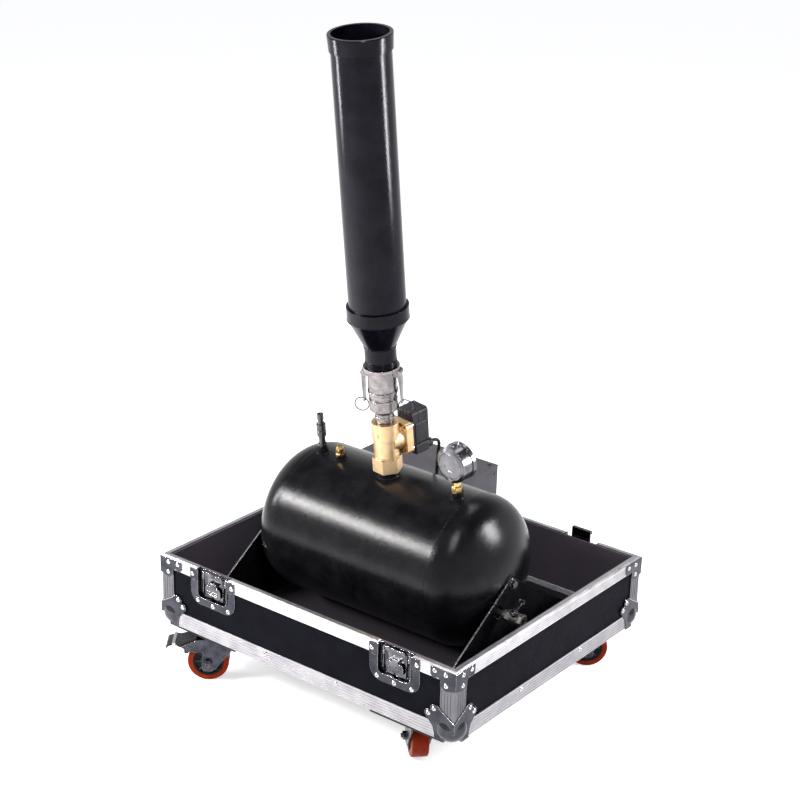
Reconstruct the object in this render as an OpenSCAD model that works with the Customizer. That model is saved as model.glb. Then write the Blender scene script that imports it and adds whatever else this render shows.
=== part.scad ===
// Confetti launcher: an air tank with a valve, a cam coupling and a wide barrel,
// standing in the lower half of a flight case on four casters.
// X runs along the case front, Y to the back, Z up; the origin is on the floor under the case centre.

/* [Case tray] */
// Room between an end plate of the tank and the lining
end_room = 58; // [56:1:80]
// Room between the tank and the control box
box_room = 20; // [18:1:40]
// Height of the case tray, without its casters
case_h = 134; // [128:1:170]
// Thickness of the laminated panels
panel_t = 9; // [7:0.5:10]
// Thickness of the dark lining
lining_t = 3.5; // [2:0.5:5]
// Width of the legs of the bottom and corner profiles
edge_leg = 30; // [27:1:34]
// Sheet thickness of the profiles
edge_t = 2; // [1.6:0.1:2.2]
// Height of the rim profile's outer face
rim_h = 22.5; // [20:0.5:26]
// Size of the bevel along the rim
rim_bevel = 3; // [2:0.5:4]
// Depth of the grooves in the profiles
groove_d = 0.5; // [0.3:0.1:0.8]
// Sheet thickness of the corners, braces and latch dishes
sheet_t = 1.2; // [1:0.1:1.5]
// Radius of the ball corners
ball_r = 24; // [22:0.5:26]
// Diameter of the rivet heads
rivet_d = 9; // [7:0.5:10]

/* [Latches] */
// Distance of each latch from the nearer end of the case
latch_inset = 125.5; // [118:0.5:150]
// Width of the latch dish
dish_w = 105; // [100:1:112]
// Height of the latch dish
dish_h = 68; // [66:1:74]
// Width of the dish's pocket, outside
pocket_w = 70; // [66:1:74]
// Depth of the latch's turning centre below the case top
hub_drop = 34.5; // [32:0.5:38]
// Travel of the hook
hook_travel = 20; // [16:1:21]
// Width of the hook plate
hook_w = 40; // [36:1:42]
// Width of the folding wing
wing_w = 35; // [32:1:36]

/* [Casters] */
// Overall height of a caster
caster_h = 100; // [94:1:110]
// Diameter of a wheel
wheel_d = 75; // [65:1:78]
// Width of a wheel
wheel_w = 30; // [24:1:32]
// Distance of the wheel's axle behind the swivel axis
trail = 30; // [26:1:34]
// Diameter of an axle
axle_d = 8; // [6:1:10]
// Distance of the swivel axes from the ends of the case
swivel_inset_x = 106; // [104:1:130]
// Distance of the swivel axes from the front and back of the case
swivel_inset_y = 52; // [52:1:80]
// Length of a caster plate
plate_l = 140; // [128:1:156]
// Width of a caster plate
plate_w = 100; // [96:1:104]

/* [Tank] */
// Diameter of the tank
tank_d = 274; // [240:1:280]
// Length of the tank's straight part
tank_l = 338; // [330:1:350]
// Depth of each dished end
head_d = 84; // [76:1:88]
// Knuckle radius of the dished ends
knuckle_r = 60; // [45:1:66]
// Wall of the tank
tank_t = 3; // [2:0.5:5]
// Height of the tank's axis above the ground
tank_z = 270; // [262:1:290]
// Place of the tank's axis across the case, from the centre
tank_y = -25; // [-30:1:-15]
// Lean of the fittings on the tank, towards the front
tank_roll = 7; // [0:0.5:10]
// Thickness of the end plates
end_plate_t = 3; // [2:0.5:4]

/* [Valve and coupling] */
// Diameter of the valve's body
valve_d = 45; // [43:1:47]
// Height of the valve's body
valve_h = 94; // [92:1:100]
// Height of the side port's axis above the body's foot
port_h = 56; // [54:1:58]
// Side of the square flange at the side port
flange_w = 58; // [54:1:60]
// Width of the coil block
coil_w = 40; // [36:1:44]
// Diameter of the coupling's body
coupler_d = 49.5; // [49:0.5:52]
// Diameter of the coupling's socket
socket_d = 43; // [42:0.2:43.6]
// Diameter of the pull rings, at the wire's centre
ring_d = 25; // [20:1:26]
// Diameter of the valve cable
cable_d = 6; // [4:0.5:7]

/* [Barrel] */
// Outer diameter of the barrel tube
barrel_d = 98; // [80:1:110]
// Length of the barrel tube
barrel_l = 485; // [300:5:700]
// Wall of the barrel tube
barrel_t = 2; // [1.5:0.5:3]
// Length of the cone under the barrel
cone_h = 52; // [40:1:80]
// Diameter of the barrel's neck
neck_d = 55; // [50:1:60]
// Height of the band round the mouth
mouth_h = 27; // [16:1:40]

/* [Gauge and fittings] */
// Diameter of the gauge's case
gauge_d = 64; // [56:1:66]
// Depth of the gauge's case
gauge_t = 31; // [26:1:34]
// Distance of the gauge from the end of the tank's straight part
gauge_inset = 22; // [19:1:40]
// Distance of the fill nipple from the end of the tank's straight part
nipple_inset = 15; // [11:1:23]
// Distance between the fill nipple and the brass plug
plug_pitch = 41; // [34:1:54]
// Diameter of the drain valve's body
drain_d = 22; // [18:1:24]

/* [Control box] */
// Length of the control box
box_l = 240; // [200:1:250]
// Width of the control box
box_w = 128; // [112:1:130]
// Height of the control box
box_h = 216.5; // [200:0.5:220]
// Wall of the control box
box_t = 2; // [1.5:0.5:3]

/* [Hidden] */
$fn = 64;

// Clearances: of a turning or sliding fit, and between pieces that move past each other
fit = 0.05;
gap = 0.3;
// A small overlap that makes cuts run clear of a face
eps = 0.5;

// Tank sizes
tank_r = tank_d / 2;
crown_r = (head_d * head_d + (tank_r - knuckle_r) * (tank_r - knuckle_r) - knuckle_r * knuckle_r)
    / (2 * (head_d - knuckle_r));
crown_x = tank_l / 2 + head_d - crown_r;
tangent_r = (tank_r - knuckle_r) * crown_r / (crown_r - knuckle_r);
tank_end = tank_l / 2 + head_d;
end_gap = 1.5;
plate_x = tank_end + end_gap;
apex_r = 11;
end_bolt_d = 8;
foot_w = 20;
end_edge_h = 12;

// The case is as long as the tank with its end plates, and as wide as the tank and the box behind it.
// Its half sizes are cut to whole millimetres, so that the mitred profiles meet exactly.
wall_in = edge_t + panel_t;
room_in = wall_in + lining_t;
box_gap = 5.5;
case_l = 2 * round(plate_x + end_plate_t + end_room + room_in);
case_w = 2 * round(tank_y + tank_r + box_room + box_w + box_gap + room_in);
foot_front = -case_w / 2 + room_in + 3;
foot_screws = [foot_front + 22, tank_y, 2 * tank_y - foot_front - 22];

// Case levels, from the ground up
case_z = caster_h;
case_top = case_z + case_h;
floor_z = case_z + edge_t;
deck_z = floor_z + panel_t;
lining_z = deck_z + lining_t;
panel_top = case_top - edge_t;
corner_cut = 20;
groove_n = 5;

// Latch sizes, in a frame with its origin on the case's outer face at the rim's top,
// X along the face, Y into the case
latch_x = case_l / 2 - latch_inset;
dish_top = -2.5;
dish_step = -(rim_h + 4);
dish_r = 24;
pocket_floor = -hub_drop - 20.5;
pocket_d = edge_t + panel_t - 1;
pocket_r = 10;
notch_clear = 0.5;
hub_d = 9;
hub_z = -hub_drop;
knob_r = 12;
knob_y = 3.7;
knob_t = 2;
crank_r = hook_travel / 2;
crank_pin_d = 4;
hook_y = knob_y + knob_t + 0.4;
hook_t = 2.3;
hook_low = hub_z - 18.5;
hook_top = -3;
lip_t = 2.5;
wing_t = 1.6;
wing_h = 28;
wing_pin_z = 12.6;
wing_pin_y = 1.9;
wing_pin_d = 2;
wing_barrel_r = 1.5;
guide_t = 2;

// Caster sizes, in a frame with Z up from the ground, X along the trail
swivel_x = case_l / 2 - swivel_inset_x;
swivel_y = case_w / 2 - swivel_inset_y;
plate_t = 4;
race_d = 60;
race_t = 5;
king_d = 10;
crown_top = caster_h - plate_t - race_t - 0.4;
crown_t = 8;
cheek_t = 3;
cheek_in = wheel_w / 2 + 2;
wheel_r = wheel_d / 2;
tread_t = 9.5;
pedal_pivot_x = trail + 34.5;
pedal_pivot_z = wheel_r + 29.3;
bolt_dx = 46;
bolt_dy = 40;
bolt_d = 8;
washer_r = 12;
trail_angles = [217.8, 136.5, 142.2, 38];
caster_sx = [-1, 1, -1, 1];
caster_sy = [-1, -1, 1, 1];

// Valve stack sizes, as heights above the tank's surface
stack_x = -4;
bung_r = 20;
foot_h = 10;
body_top = foot_h + valve_h;
port_z = foot_h + port_h;
valve_turn = -10;
thread_d = 28;
thread_l = 12;
flange_y = 24;
flange_t = 8;
bonnet_y = flange_y + flange_t;
coil_y = bonnet_y + 14;
coil_l = 36;
stem_d = 16;
plunger_d = 12;
plunger_travel = 4;
nipple_h = 18;
coupler_r = coupler_d / 2;
socket_r = socket_d / 2;
cone_z = body_top + nipple_h;
lower_z = cone_z + 8;
groove_z = lower_z + 20;
gasket_z = groove_z + 2;
gasket_h = 6;
seat_z = gasket_z + gasket_h;
cam_z = seat_z + 42;
cam_x = coupler_r + 5.25;
mouth_z = cam_z + 6;
coupler_top = mouth_z + 6;
cam_turn = 25;
arm_w = 12;
nose_r = 5;
nose_x = cam_x - 5;
nose_z = cam_z + 0.5;
nose_drop = 4;
groove_r = nose_r + 0.7;
ring_wire = 2;
hole_x = cam_x + 3;
hole_z = cam_z - 54;
ring_x = coupler_r + ring_d / 2 + ring_wire / 2 + 0.5;
ring_z = hole_z - sqrt(pow(ring_d / 2, 2) - pow(ring_x - hole_x, 2));
adapter_r = socket_r - 0.5;
neck_z = coupler_top + gap;
neck_top = neck_z + 37;
collar_z = neck_top + cone_h;
collar_h = 23;
collar_r = barrel_d / 2 + 4.2;
tube_z = collar_z + 4;
tube_top = tube_z + barrel_l;

// Places of the fittings along the tank, and of the gauge and drain
gauge_x = tank_l / 2 - gauge_inset;
nipple_x = nipple_inset - tank_l / 2;
plug_x = nipple_x + plug_pitch;
gauge_h = 66;
gauge_turn = -5;
drain_y = tank_y - 37;
drain_z = tank_z - 39;
drain_x = plate_x + end_plate_t + 35;
drain_turn = 28;

// Control box place, and the holes of its sockets
box_x = 110 - case_l / 2;
box_y = case_w / 2 - room_in - box_gap - box_w;
box_top = lining_z + box_h;
lid_t = 3;
gland_x = box_x + box_l - 34;
gland_z = box_top - 13;
elbow_out = 8;
elbow_h = 13;
elbow_r = 5.5;
socket_hole_d = 23.6;
socket_places = [[box_y + 32, box_top - 45], [box_y + box_w - 32, box_top - 45],
    [box_y + box_w / 2, box_top - 100]];

// Mouth of the connector's cable gland, in the valve's frame, and the same in the case's frame
gland_out = [8, coil_y + 50, port_z - 36];
function from_tank(v) = [
    stack_x + v[0],
    tank_y + v[1] * cos(tank_roll) - (tank_r + v[2]) * sin(tank_roll),
    tank_z + v[1] * sin(tank_roll) + (tank_r + v[2]) * cos(tank_roll)];
function from_valve(v) = from_tank([
    v[0] * cos(valve_turn) - v[1] * sin(valve_turn),
    v[0] * sin(valve_turn) + v[1] * cos(valve_turn),
    v[2]]);
cable_exit = from_valve(gland_out + [0, 0.5, 0]);

// The cable leaves the gland along its axis, bends down behind the valve and drops into the elbow
cable_bend = cable_exit + [-3.7, 29, -18.5];
first_bend = [cable_exit, from_valve(gland_out + [0, 12.6, 0]), cable_bend + [4.3, -4.5, 13.5],
    cable_bend];
elbow_top = [gland_x, box_y - elbow_out, gland_z + elbow_h];
second_bend = [cable_bend, cable_bend + [-15.3, 15.8, -47.7], elbow_top + [0, 0, 19], elbow_top];
elbow_floor = [gland_x, box_y - elbow_out, gland_z - 2];
cable_steps = 7;
cable_sides = 8;

// Helpers

module at_case_corner(sx, sy) {
    translate([sx * case_l / 2, sy * case_w / 2, case_z])
        rotate([0, 0, sx * sy > 0 ? (sx > 0 ? 180 : 0) : (sx > 0 ? 90 : -90)])
        children();
}

module round_rect(w, h, r) {
    square([w - 2 * r, h], center = true);
    square([w, h - 2 * r], center = true);
    for (sx = [-1, 1])
        for (sy = [-1, 1])
            translate([sx * (w / 2 - r), sy * (h / 2 - r)])
                circle(r = r);
}

// A shape round the X axis, from a half profile of radius and height
module turned_x() {
    rotate([0, 90, 0]) rotate_extrude() children();
}

// Flat shape in the plane of X and Z, thick along Y
module upright(y, t) {
    translate([0, y + t, 0]) rotate([90, 0, 0]) linear_extrude(height = t) children();
}

module ring(r_out, r_in, h) {
    difference() {
        cylinder(r = r_out, h = h);
        translate([0, 0, -eps]) cylinder(r = r_in, h = h + 2 * eps);
    }
}

module hex(af, h) {
    cylinder(r = af / 2 / cos(30), h = h, $fn = 6);
}

// Case panels, lining and profiles

module latch_notches(y0, y1, half, low) {
    for (sy = [-1, 1])
        for (sx = [-1, 1])
            translate([sx * latch_x - half, sy > 0 ? case_w / 2 - y1 : -case_w / 2 + y0, low])
                    cube([2 * half, y1 - y0, case_h]);
}

module corner_cubes() {
    for (sx = [-1, 1])
        for (sy = [-1, 1])
            translate([sx * (case_l / 2 - corner_cut / 2), sy * (case_w / 2 - corner_cut / 2),
                case_z + corner_cut / 2])
                cube([corner_cut, corner_cut, corner_cut], center = true);
}

// Through bolts on the inner side of the casters, except where the control box stands
module caster_bolt_places() {
    for (i = [0:3])
        for (sx = i == 2 ? [-1] : [-1, 1])
            translate([caster_sx[i] * swivel_x + sx * bolt_dx, caster_sy[i] * (swivel_y - bolt_dy), 0])
                children();
}

module case_panels() color([0.07, 0.07, 0.08]) {
    inner_l = case_l - 2 * edge_t;
    inner_w = case_w - 2 * edge_t;
    difference() {
        translate([-inner_l / 2, -inner_w / 2, floor_z]) cube([inner_l, inner_w, panel_t]);
        corner_cubes();
        caster_bolt_places() translate([0, 0, floor_z - eps])
            cylinder(d = bolt_d + 2 * fit, h = panel_t + 2 * eps);
    }
    difference() {
        for (sy = [-1, 1])
            translate([-inner_l / 2, sy > 0 ? inner_w / 2 - panel_t : -inner_w / 2, deck_z])
                cube([inner_l, panel_t, panel_top - deck_z]);
        latch_notches(0, wall_in + eps, pocket_w / 2 + notch_clear, case_top + pocket_floor - 2);
        corner_cubes();
    }
    difference() {
        for (sx = [-1, 1])
            translate([sx > 0 ? inner_l / 2 - panel_t : -inner_l / 2, -case_w / 2 + wall_in, deck_z])
                cube([panel_t, case_w - 2 * wall_in, panel_top - deck_z]);
        corner_cubes();
    }
}

module lining() color([0.16, 0.15, 0.18]) {
    room_l = case_l - 2 * wall_in;
    room_w = case_w - 2 * wall_in;
    difference() {
        translate([-room_l / 2, -room_w / 2, deck_z]) cube([room_l, room_w, lining_t]);
        caster_bolt_places() translate([0, 0, deck_z - eps])
            cylinder(d = bolt_d + 2 * fit, h = lining_t + 2 * eps);
    }
    for (sy = [-1, 1])
        translate([-room_l / 2, sy > 0 ? room_w / 2 - lining_t : -room_w / 2, lining_z])
            cube([room_l, lining_t, panel_top - lining_z]);
    for (sx = [-1, 1])
        translate([sx > 0 ? room_l / 2 - lining_t : -room_l / 2, -room_w / 2 + lining_t, lining_z])
            cube([lining_t, room_w - 2 * lining_t, panel_top - lining_z]);
}

// Angle profile with a grooved outer leg, across the Y and Z of its frame
module angle_section(depth, height) {
    difference() {
        polygon([[0, 1.5], [1.5, 0], [depth, 0], [depth, edge_t], [edge_t, edge_t], [edge_t, height],
            [0, height]]);
        for (i = [1:groove_n])
            translate([-eps, height * i / (groove_n + 1) - 1])
                square([eps + groove_d, 2]);
    }
}

module rim_section() {
    difference() {
        polygon([[0, -rim_h], [0, 0.5 - rim_bevel], [rim_bevel, 0], [wall_in, 0], [wall_in, -edge_t],
            [edge_t, -edge_t], [edge_t, -rim_h]]);
        for (i = [1:4])
            translate([-eps, -rim_h + (rim_h - rim_bevel) * i / 5 - 1])
                square([eps + groove_d, 2]);
    }
}

// One mitred length of a profile along X, its outer face at Y = 0
module mitred_run(len, depth, low, high) {
    intersection() {
        translate([-len / 2, 0, 0])
            rotate([90, 0, 90])
            linear_extrude(height = len)
            children();
        translate([0, 0, low - eps])
            linear_extrude(height = high - low + 2 * eps)
            polygon([[-len / 2, 0], [len / 2, 0], [len / 2 - depth, depth], [depth - len / 2, depth]]);
    }
}

// Front, back, left and right places of the profiles
module each_side() {
    for (a = [0, 180])
        rotate([0, 0, a]) translate([0, -case_w / 2, 0]) children(0);
    for (a = [90, -90])
        rotate([0, 0, a]) translate([0, -case_l / 2, 0]) children(1);
}

module edge_profiles() color([0.78, 0.78, 0.8]) {
    difference() {
        translate([0, 0, case_z]) each_side() {
            mitred_run(case_l, edge_leg, 0, edge_leg) angle_section(edge_leg, edge_leg);
            mitred_run(case_w, edge_leg, 0, edge_leg) angle_section(edge_leg, edge_leg);
        }
        corner_cubes();
    }
    post_h = case_h - rim_h - edge_leg;
    for (sx = [-1, 1])
        for (sy = [-1, 1])
            at_case_corner(sx, sy)
                translate([0, 0, edge_leg])
                linear_extrude(height = post_h)
                post_section();
}

module post_section() {
    difference() {
        union() {
            translate([4, 0]) square([edge_leg - 4, edge_t]);
            translate([0, 4]) square([edge_t, edge_leg - 4]);
            intersection() {
                difference() {
                    translate([4, 4]) circle(r = 4);
                    translate([edge_t, edge_t]) square([4, 4]);
                }
                square([4, 4]);
            }
        }
        for (i = [1:4]) {
            translate([edge_leg * i / 5 + 2, -eps]) square([1.5, eps + groove_d]);
            translate([-eps, edge_leg * i / 5 + 2]) square([eps + groove_d, 1.5]);
        }
    }
}

module rim_profiles() color([0.82, 0.82, 0.84]) {
    lip_half = pocket_w / 2 + 1.5;
    difference() {
        translate([0, 0, case_top]) each_side() {
            mitred_run(case_l, wall_in, -rim_h, 0) rim_section();
            mitred_run(case_w, wall_in, -rim_h, 0) rim_section();
        }
        latch_notches(-eps, wall_in + eps, lip_half, case_top - rim_h - eps);
        for (sx = [-1, 1])
            translate([sx * latch_x, 0, case_top])
                upright(-case_w / 2 - eps, case_w + 2 * eps)
                lip_rounds(lip_half, 4);
    }
}

// The two corners that round off the lip ends beside a latch
module lip_rounds(half, r) {
    for (s = [-1, 1])
        difference() {
            translate([s * (half + r / 2), -r / 2]) square([r, r], center = true);
            translate([s * (half + r), -r]) circle(r = r);
        }
}

// Ball corners and braces

module ball_flange() {
    polygon([[-sheet_t, -sheet_t], [39.5, -sheet_t], [39.5, 9], [43, 21], [57.2, 37.2], [52.4, 42.9],
        [41.4, 54.5], [41.4, 62], [33, 62], [27.4, 56.5], [0, 40], [-sheet_t, 40]]);
    translate([52.4, 42.9]) circle(r = 7.5);
    translate([41.4, 54.5]) circle(r = 7.5);
}

module ball_corner() {
    difference() {
        union() {
            upright(-sheet_t, sheet_t) ball_flange();
            rotate([0, 0, 90]) mirror([0, 1, 0]) upright(-sheet_t, sheet_t) ball_flange();
            translate([-sheet_t, -sheet_t, -sheet_t])
                cube([edge_leg + sheet_t, edge_leg + sheet_t, sheet_t]);
        }
        translate([-6, -6, -6]) cube([corner_cut + 6, corner_cut + 6, corner_cut + 6]);
    }
    translate([corner_cut, corner_cut, corner_cut]) rotate([0, 0, 180]) rotate_extrude(angle = 90)
        intersection() {
            difference() {
                circle(r = ball_r);
                circle(r = ball_r - 5.5);
            }
            translate([0, -ball_r]) square([ball_r, ball_r]);
        }
}

module ball_corners() color([0.6, 0.61, 0.65]) {
    for (sx = [-1, 1])
        for (sy = [-1, 1])
            at_case_corner(sx, sy) ball_corner();
}

module brace_leg() {
    top = case_h - 2.5;
    low = case_h - rim_h;
    difference() {
        union() {
            translate([-sheet_t, low]) square([50.7 + sheet_t - 7, top - low]);
            translate([40, low + 7]) square([10.7, top - low - 7]);
            translate([43.7, low + 7]) circle(r = 7);
            polygon([[-sheet_t, low + 1], [edge_leg, low + 1], [edge_leg, low - 10], [19, low - 17.5],
                [-sheet_t, low - 12]]);
        }
        translate([edge_leg + 6, low - 4]) circle(r = 6);
    }
}

module corner_brace() {
    upright(-sheet_t, sheet_t) brace_leg();
    rotate([0, 0, 90]) mirror([0, 1, 0]) upright(-sheet_t, sheet_t) brace_leg();
}

module corner_braces() color([0.6, 0.61, 0.65]) {
    for (sx = [-1, 1])
        for (sy = [-1, 1])
            at_case_corner(sx, sy) corner_brace();
}

// Rivet head with the dark pin hole of a blind rivet, its flat side at Z = 0
module rivet() {
    r = rivet_d / 2;
    difference() {
        cylinder(r1 = r, r2 = r * 0.7, h = 1.3);
        translate([0, 0, 0.5]) cylinder(r = r * 0.3, h = 2);
    }
}

// Puts a rivet on an outer face that lies at Y = y of a frame that looks along +Y
module face_rivet(x, y, z) {
    translate([x, y, z]) rotate([90, 0, 0]) rivet();
}

module corner_face_rivets() {
    for (p = [[52.4, 42.9], [41.4, 54.5], [42, case_h - 9.3], [19.3, case_h - 10.3],
            [18.5, case_h - 29.8]])
        face_rivet(p[0], -sheet_t, p[1]);
}

module case_rivets() color([0.85, 0.85, 0.86]) {
    for (sx = [-1, 1])
        for (sy = [-1, 1])
            at_case_corner(sx, sy) {
                corner_face_rivets();
                rotate([0, 0, 90]) mirror([0, 1, 0]) corner_face_rivets();
            }
    for (i = [0:3])
        latch_frame(i) {
            for (s = [-1, 1]) {
                face_rivet(s * (dish_w / 2 - 5.5), -sheet_t, -14);
                face_rivet(s * (dish_w / 2 - 16), edge_t - sheet_t, dish_top - dish_h + 7);
            }
            face_rivet(0, edge_t - sheet_t, dish_top - dish_h + 5.2);
        }
    translate([0, 0, case_z + edge_leg * 7 / 12 + 4]) each_side() {
        for (s = [-1, 1]) face_rivet(s * (case_l / 2 - 250), 0, 0);
        for (s = [-1, 1]) face_rivet(s * (case_w / 2 - 190), 0, 0);
    }
}

// Latches

module latch_frame(i) {
    rotate([0, 0, i > 1 ? 180 : 0])
        translate([(i == 0 || i == 3 ? -1 : 1) * latch_x, -case_w / 2, case_top])
        children();
}

module dish_outline() {
    low = dish_top - dish_h;
    translate([-dish_w / 2, low + dish_r]) square([dish_w, dish_h - dish_r]);
    translate([-dish_w / 2 + dish_r, low]) square([dish_w - 2 * dish_r, dish_r + 1]);
    for (s = [-1, 1])
        translate([s * (dish_w / 2 - dish_r), low + dish_r]) circle(r = dish_r);
}

module pocket_outline(w, low, r) {
    translate([-w / 2, low + r]) square([w, -low]);
    translate([-w / 2 + r, low]) square([w - 2 * r, r + 1]);
    for (s = [-1, 1])
        translate([s * (w / 2 - r), low + r]) circle(r = r);
}

module latch_dish() {
    low = pocket_floor - sheet_t;
    dish_low = dish_top - dish_h - eps;
    difference() {
        union() {
            intersection() {
                translate([-dish_w / 2, 0, 0]) rotate([90, 0, 90]) linear_extrude(height = dish_w)
                    polygon([[-sheet_t, 0], [-sheet_t, -rim_h - gap], [edge_t - sheet_t, dish_step],
                        [edge_t - sheet_t, dish_low], [edge_t, dish_low], [edge_t, dish_step + 0.4],
                        [0, -rim_h - 0.1], [0, 0]]);
                upright(-wall_in, 2 * wall_in) dish_outline();
            }
            upright(-sheet_t, pocket_d + sheet_t) intersection() {
                pocket_outline(pocket_w, low, pocket_r + sheet_t);
                translate([-dish_w / 2, dish_low]) square([dish_w, dish_h + eps]);
            }
        }
        upright(-wall_in, pocket_d - sheet_t + wall_in)
            pocket_outline(pocket_w - 2 * sheet_t, pocket_floor, pocket_r);
        translate([0, pocket_d + eps, hub_z]) rotate([90, 0, 0])
            cylinder(d = hub_d + 2 * fit, h = sheet_t + 2 * eps);
    }
    for (s = [-1, 1]) latch_guide(s);
}

// Guide that holds one edge of the hook plate in the dish
module latch_guide(s) {
    x0 = hook_w / 2 + 0.4;
    translate([0, 0, hub_z + 6]) linear_extrude(height = 20)
        polygon([[s * x0, pocket_d - sheet_t], [s * (x0 + guide_t), pocket_d - sheet_t],
            [s * (x0 + guide_t), hook_y - 1.2], [s * (x0 - 1.8), hook_y - 1.2],
            [s * (x0 - 1.8), hook_y - 0.3], [s * x0, hook_y - 0.3]]);
}

module latch_dishes() color([0.62, 0.63, 0.67]) {
    for (i = [0:3]) latch_frame(i) latch_dish();
}

// Hook plate: forked over the hub, with a cross slot for the crank pin and a lip at its top
module latch_hook(i) {
    raise = i > 1 ? hook_travel : 0;
    slot_half = crank_r + crank_pin_d / 2 + 0.4;
    slot_tall = crank_pin_d / 2 + 0.207 * crank_r + 0.4;
    color([0.68, 0.69, 0.72]) latch_frame(i) translate([0, 0, raise]) {
        upright(hook_y, hook_t) difference() {
            translate([-hook_w / 2, hook_low]) square([hook_w, hook_top - hook_low]);
            translate([-hub_d / 2 - 0.7, hook_low - eps])
                square([hub_d + 1.4, hub_z + hub_d / 2 + 0.7 - hook_low + eps]);
            translate([-slot_half, hub_z - crank_r - slot_tall]) square([2 * slot_half, 2 * slot_tall]);
        }
        translate([-hook_w / 2, 1.5, hook_top - lip_t]) cube([hook_w, hook_y - 1.5, lip_t]);
        translate([-hook_w / 2, 1.5, hook_top - lip_t - 4]) cube([hook_w, 1.6, 4.5]);
    }
}

module knob_frame(i) {
    latch_frame(i) translate([0, 0, hub_z]) rotate([0, i > 1 ? 180 : 0, 0]) children();
}

// Turning plate with its hub, crank pin and the ears and pin of the folding wing
module latch_knob(i) {
    ear_in = 6.5;
    ear_t = 2.5;
    color([0.7, 0.71, 0.74]) knob_frame(i) {
        upright(knob_y, knob_t) {
            circle(r = knob_r);
            translate([-ear_in - ear_t, 0])
                square([2 * (ear_in + ear_t), wing_pin_z + wing_barrel_r + gap]);
        }
        translate([0, pocket_d, 0]) rotate([90, 0, 0]) cylinder(d = hub_d, h = pocket_d - knob_y - 1);
        translate([0, hook_y + hook_t, -crank_r]) rotate([90, 0, 0])
            cylinder(d = crank_pin_d, h = hook_y + hook_t - knob_y - 1);
        for (s = [-1, 1])
            translate([s * (ear_in + ear_t / 2), (wing_pin_y + knob_y) / 2 - 0.6, wing_pin_z])
                cube([ear_t, knob_y - wing_pin_y + 1.6, 2 * wing_barrel_r + 0.4], center = true);
        translate([-ear_in - eps, wing_pin_y, wing_pin_z]) rotate([0, 90, 0])
            cylinder(d = wing_pin_d, h = 2 * (ear_in + eps));
    }
}

module wing_outline() {
    half = wing_w / 2;
    low = -wing_h / 2;
    difference() {
        union() {
            translate([-half + 8, low]) square([wing_w - 16, 9]);
            translate([-half, low + 8]) square([wing_w, 7]);
            for (s = [-1, 1]) {
                translate([s * (half - 8), low + 8]) circle(r = 8);
                translate([s * (half - 6), low + 15]) circle(r = 6);
            }
            translate([-half + 6, low + 10]) square([wing_w - 12, 11]);
            translate([-6, 0]) square([12, wing_pin_z - wing_barrel_r + 0.4]);
        }
        translate([0, low]) circle(r = 3);
    }
}

// Folding wing of the turning plate, with its knuckle
module latch_wing(i) {
    color([0.75, 0.76, 0.79]) knob_frame(i) difference() {
        union() {
            upright(wing_pin_y - 0.9, wing_t) wing_outline();
            translate([-6, wing_pin_y, wing_pin_z]) rotate([0, 90, 0]) cylinder(r = wing_barrel_r, h = 12);
        }
        translate([-8, wing_pin_y, wing_pin_z]) rotate([0, 90, 0])
            cylinder(d = wing_pin_d + 2 * fit, h = 16);
    }
}

// Casters

module caster_frame(i) {
    translate([caster_sx[i] * swivel_x, caster_sy[i] * swivel_y, 0]) children();
}

module trail_frame(i) {
    caster_frame(i) rotate([0, 0, trail_angles[i]]) children();
}

module caster_plates() color([0.1, 0.1, 0.11]) {
    for (i = [0:3])
        difference() {
            caster_frame(i) {
                translate([-plate_l / 2, -plate_w / 2, caster_h - plate_t])
                    cube([plate_l, plate_w, plate_t]);
                translate([0, 0, crown_top + 0.4]) cylinder(d = race_d, h = race_t + eps);
                translate([0, 0, crown_top - crown_t - 0.4]) cylinder(d = king_d, h = crown_t + 2);
                translate([0, 0, crown_top - crown_t - 3.4]) cylinder(d = king_d + 8, h = 3);
            }
            caster_bolt_places() translate([0, 0, caster_h - plate_t - eps])
                cylinder(d = bolt_d + 2 * fit, h = plate_t + 2 * eps);
        }
}

// Outline of a fork cheek in the plane of trail and height
module cheek_outline(braked) {
    top = crown_top - crown_t + 2;
    difference() {
        union() {
            polygon([[-24, top], [-19, top - 14], [trail - 13, wheel_r - 12], [trail - 7, wheel_r - 17],
                [trail + 7, wheel_r - 17], [trail + 11, wheel_r - 13], [trail + 9, top - 20], [trail, top]]);
            if (braked)
                polygon([[trail - 4, top], [trail + 9, top - 28], [pedal_pivot_x + 2, pedal_pivot_z - 7],
                    [pedal_pivot_x + 6, pedal_pivot_z - 5], [pedal_pivot_x + 14, pedal_pivot_z + 2],
                    [pedal_pivot_x + 7, pedal_pivot_z + 5], [trail + 20, top - 2]]);
        }
        if (braked)
            translate([trail + 15, pedal_pivot_z - 13.5]) circle(r = 6);
    }
}

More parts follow.
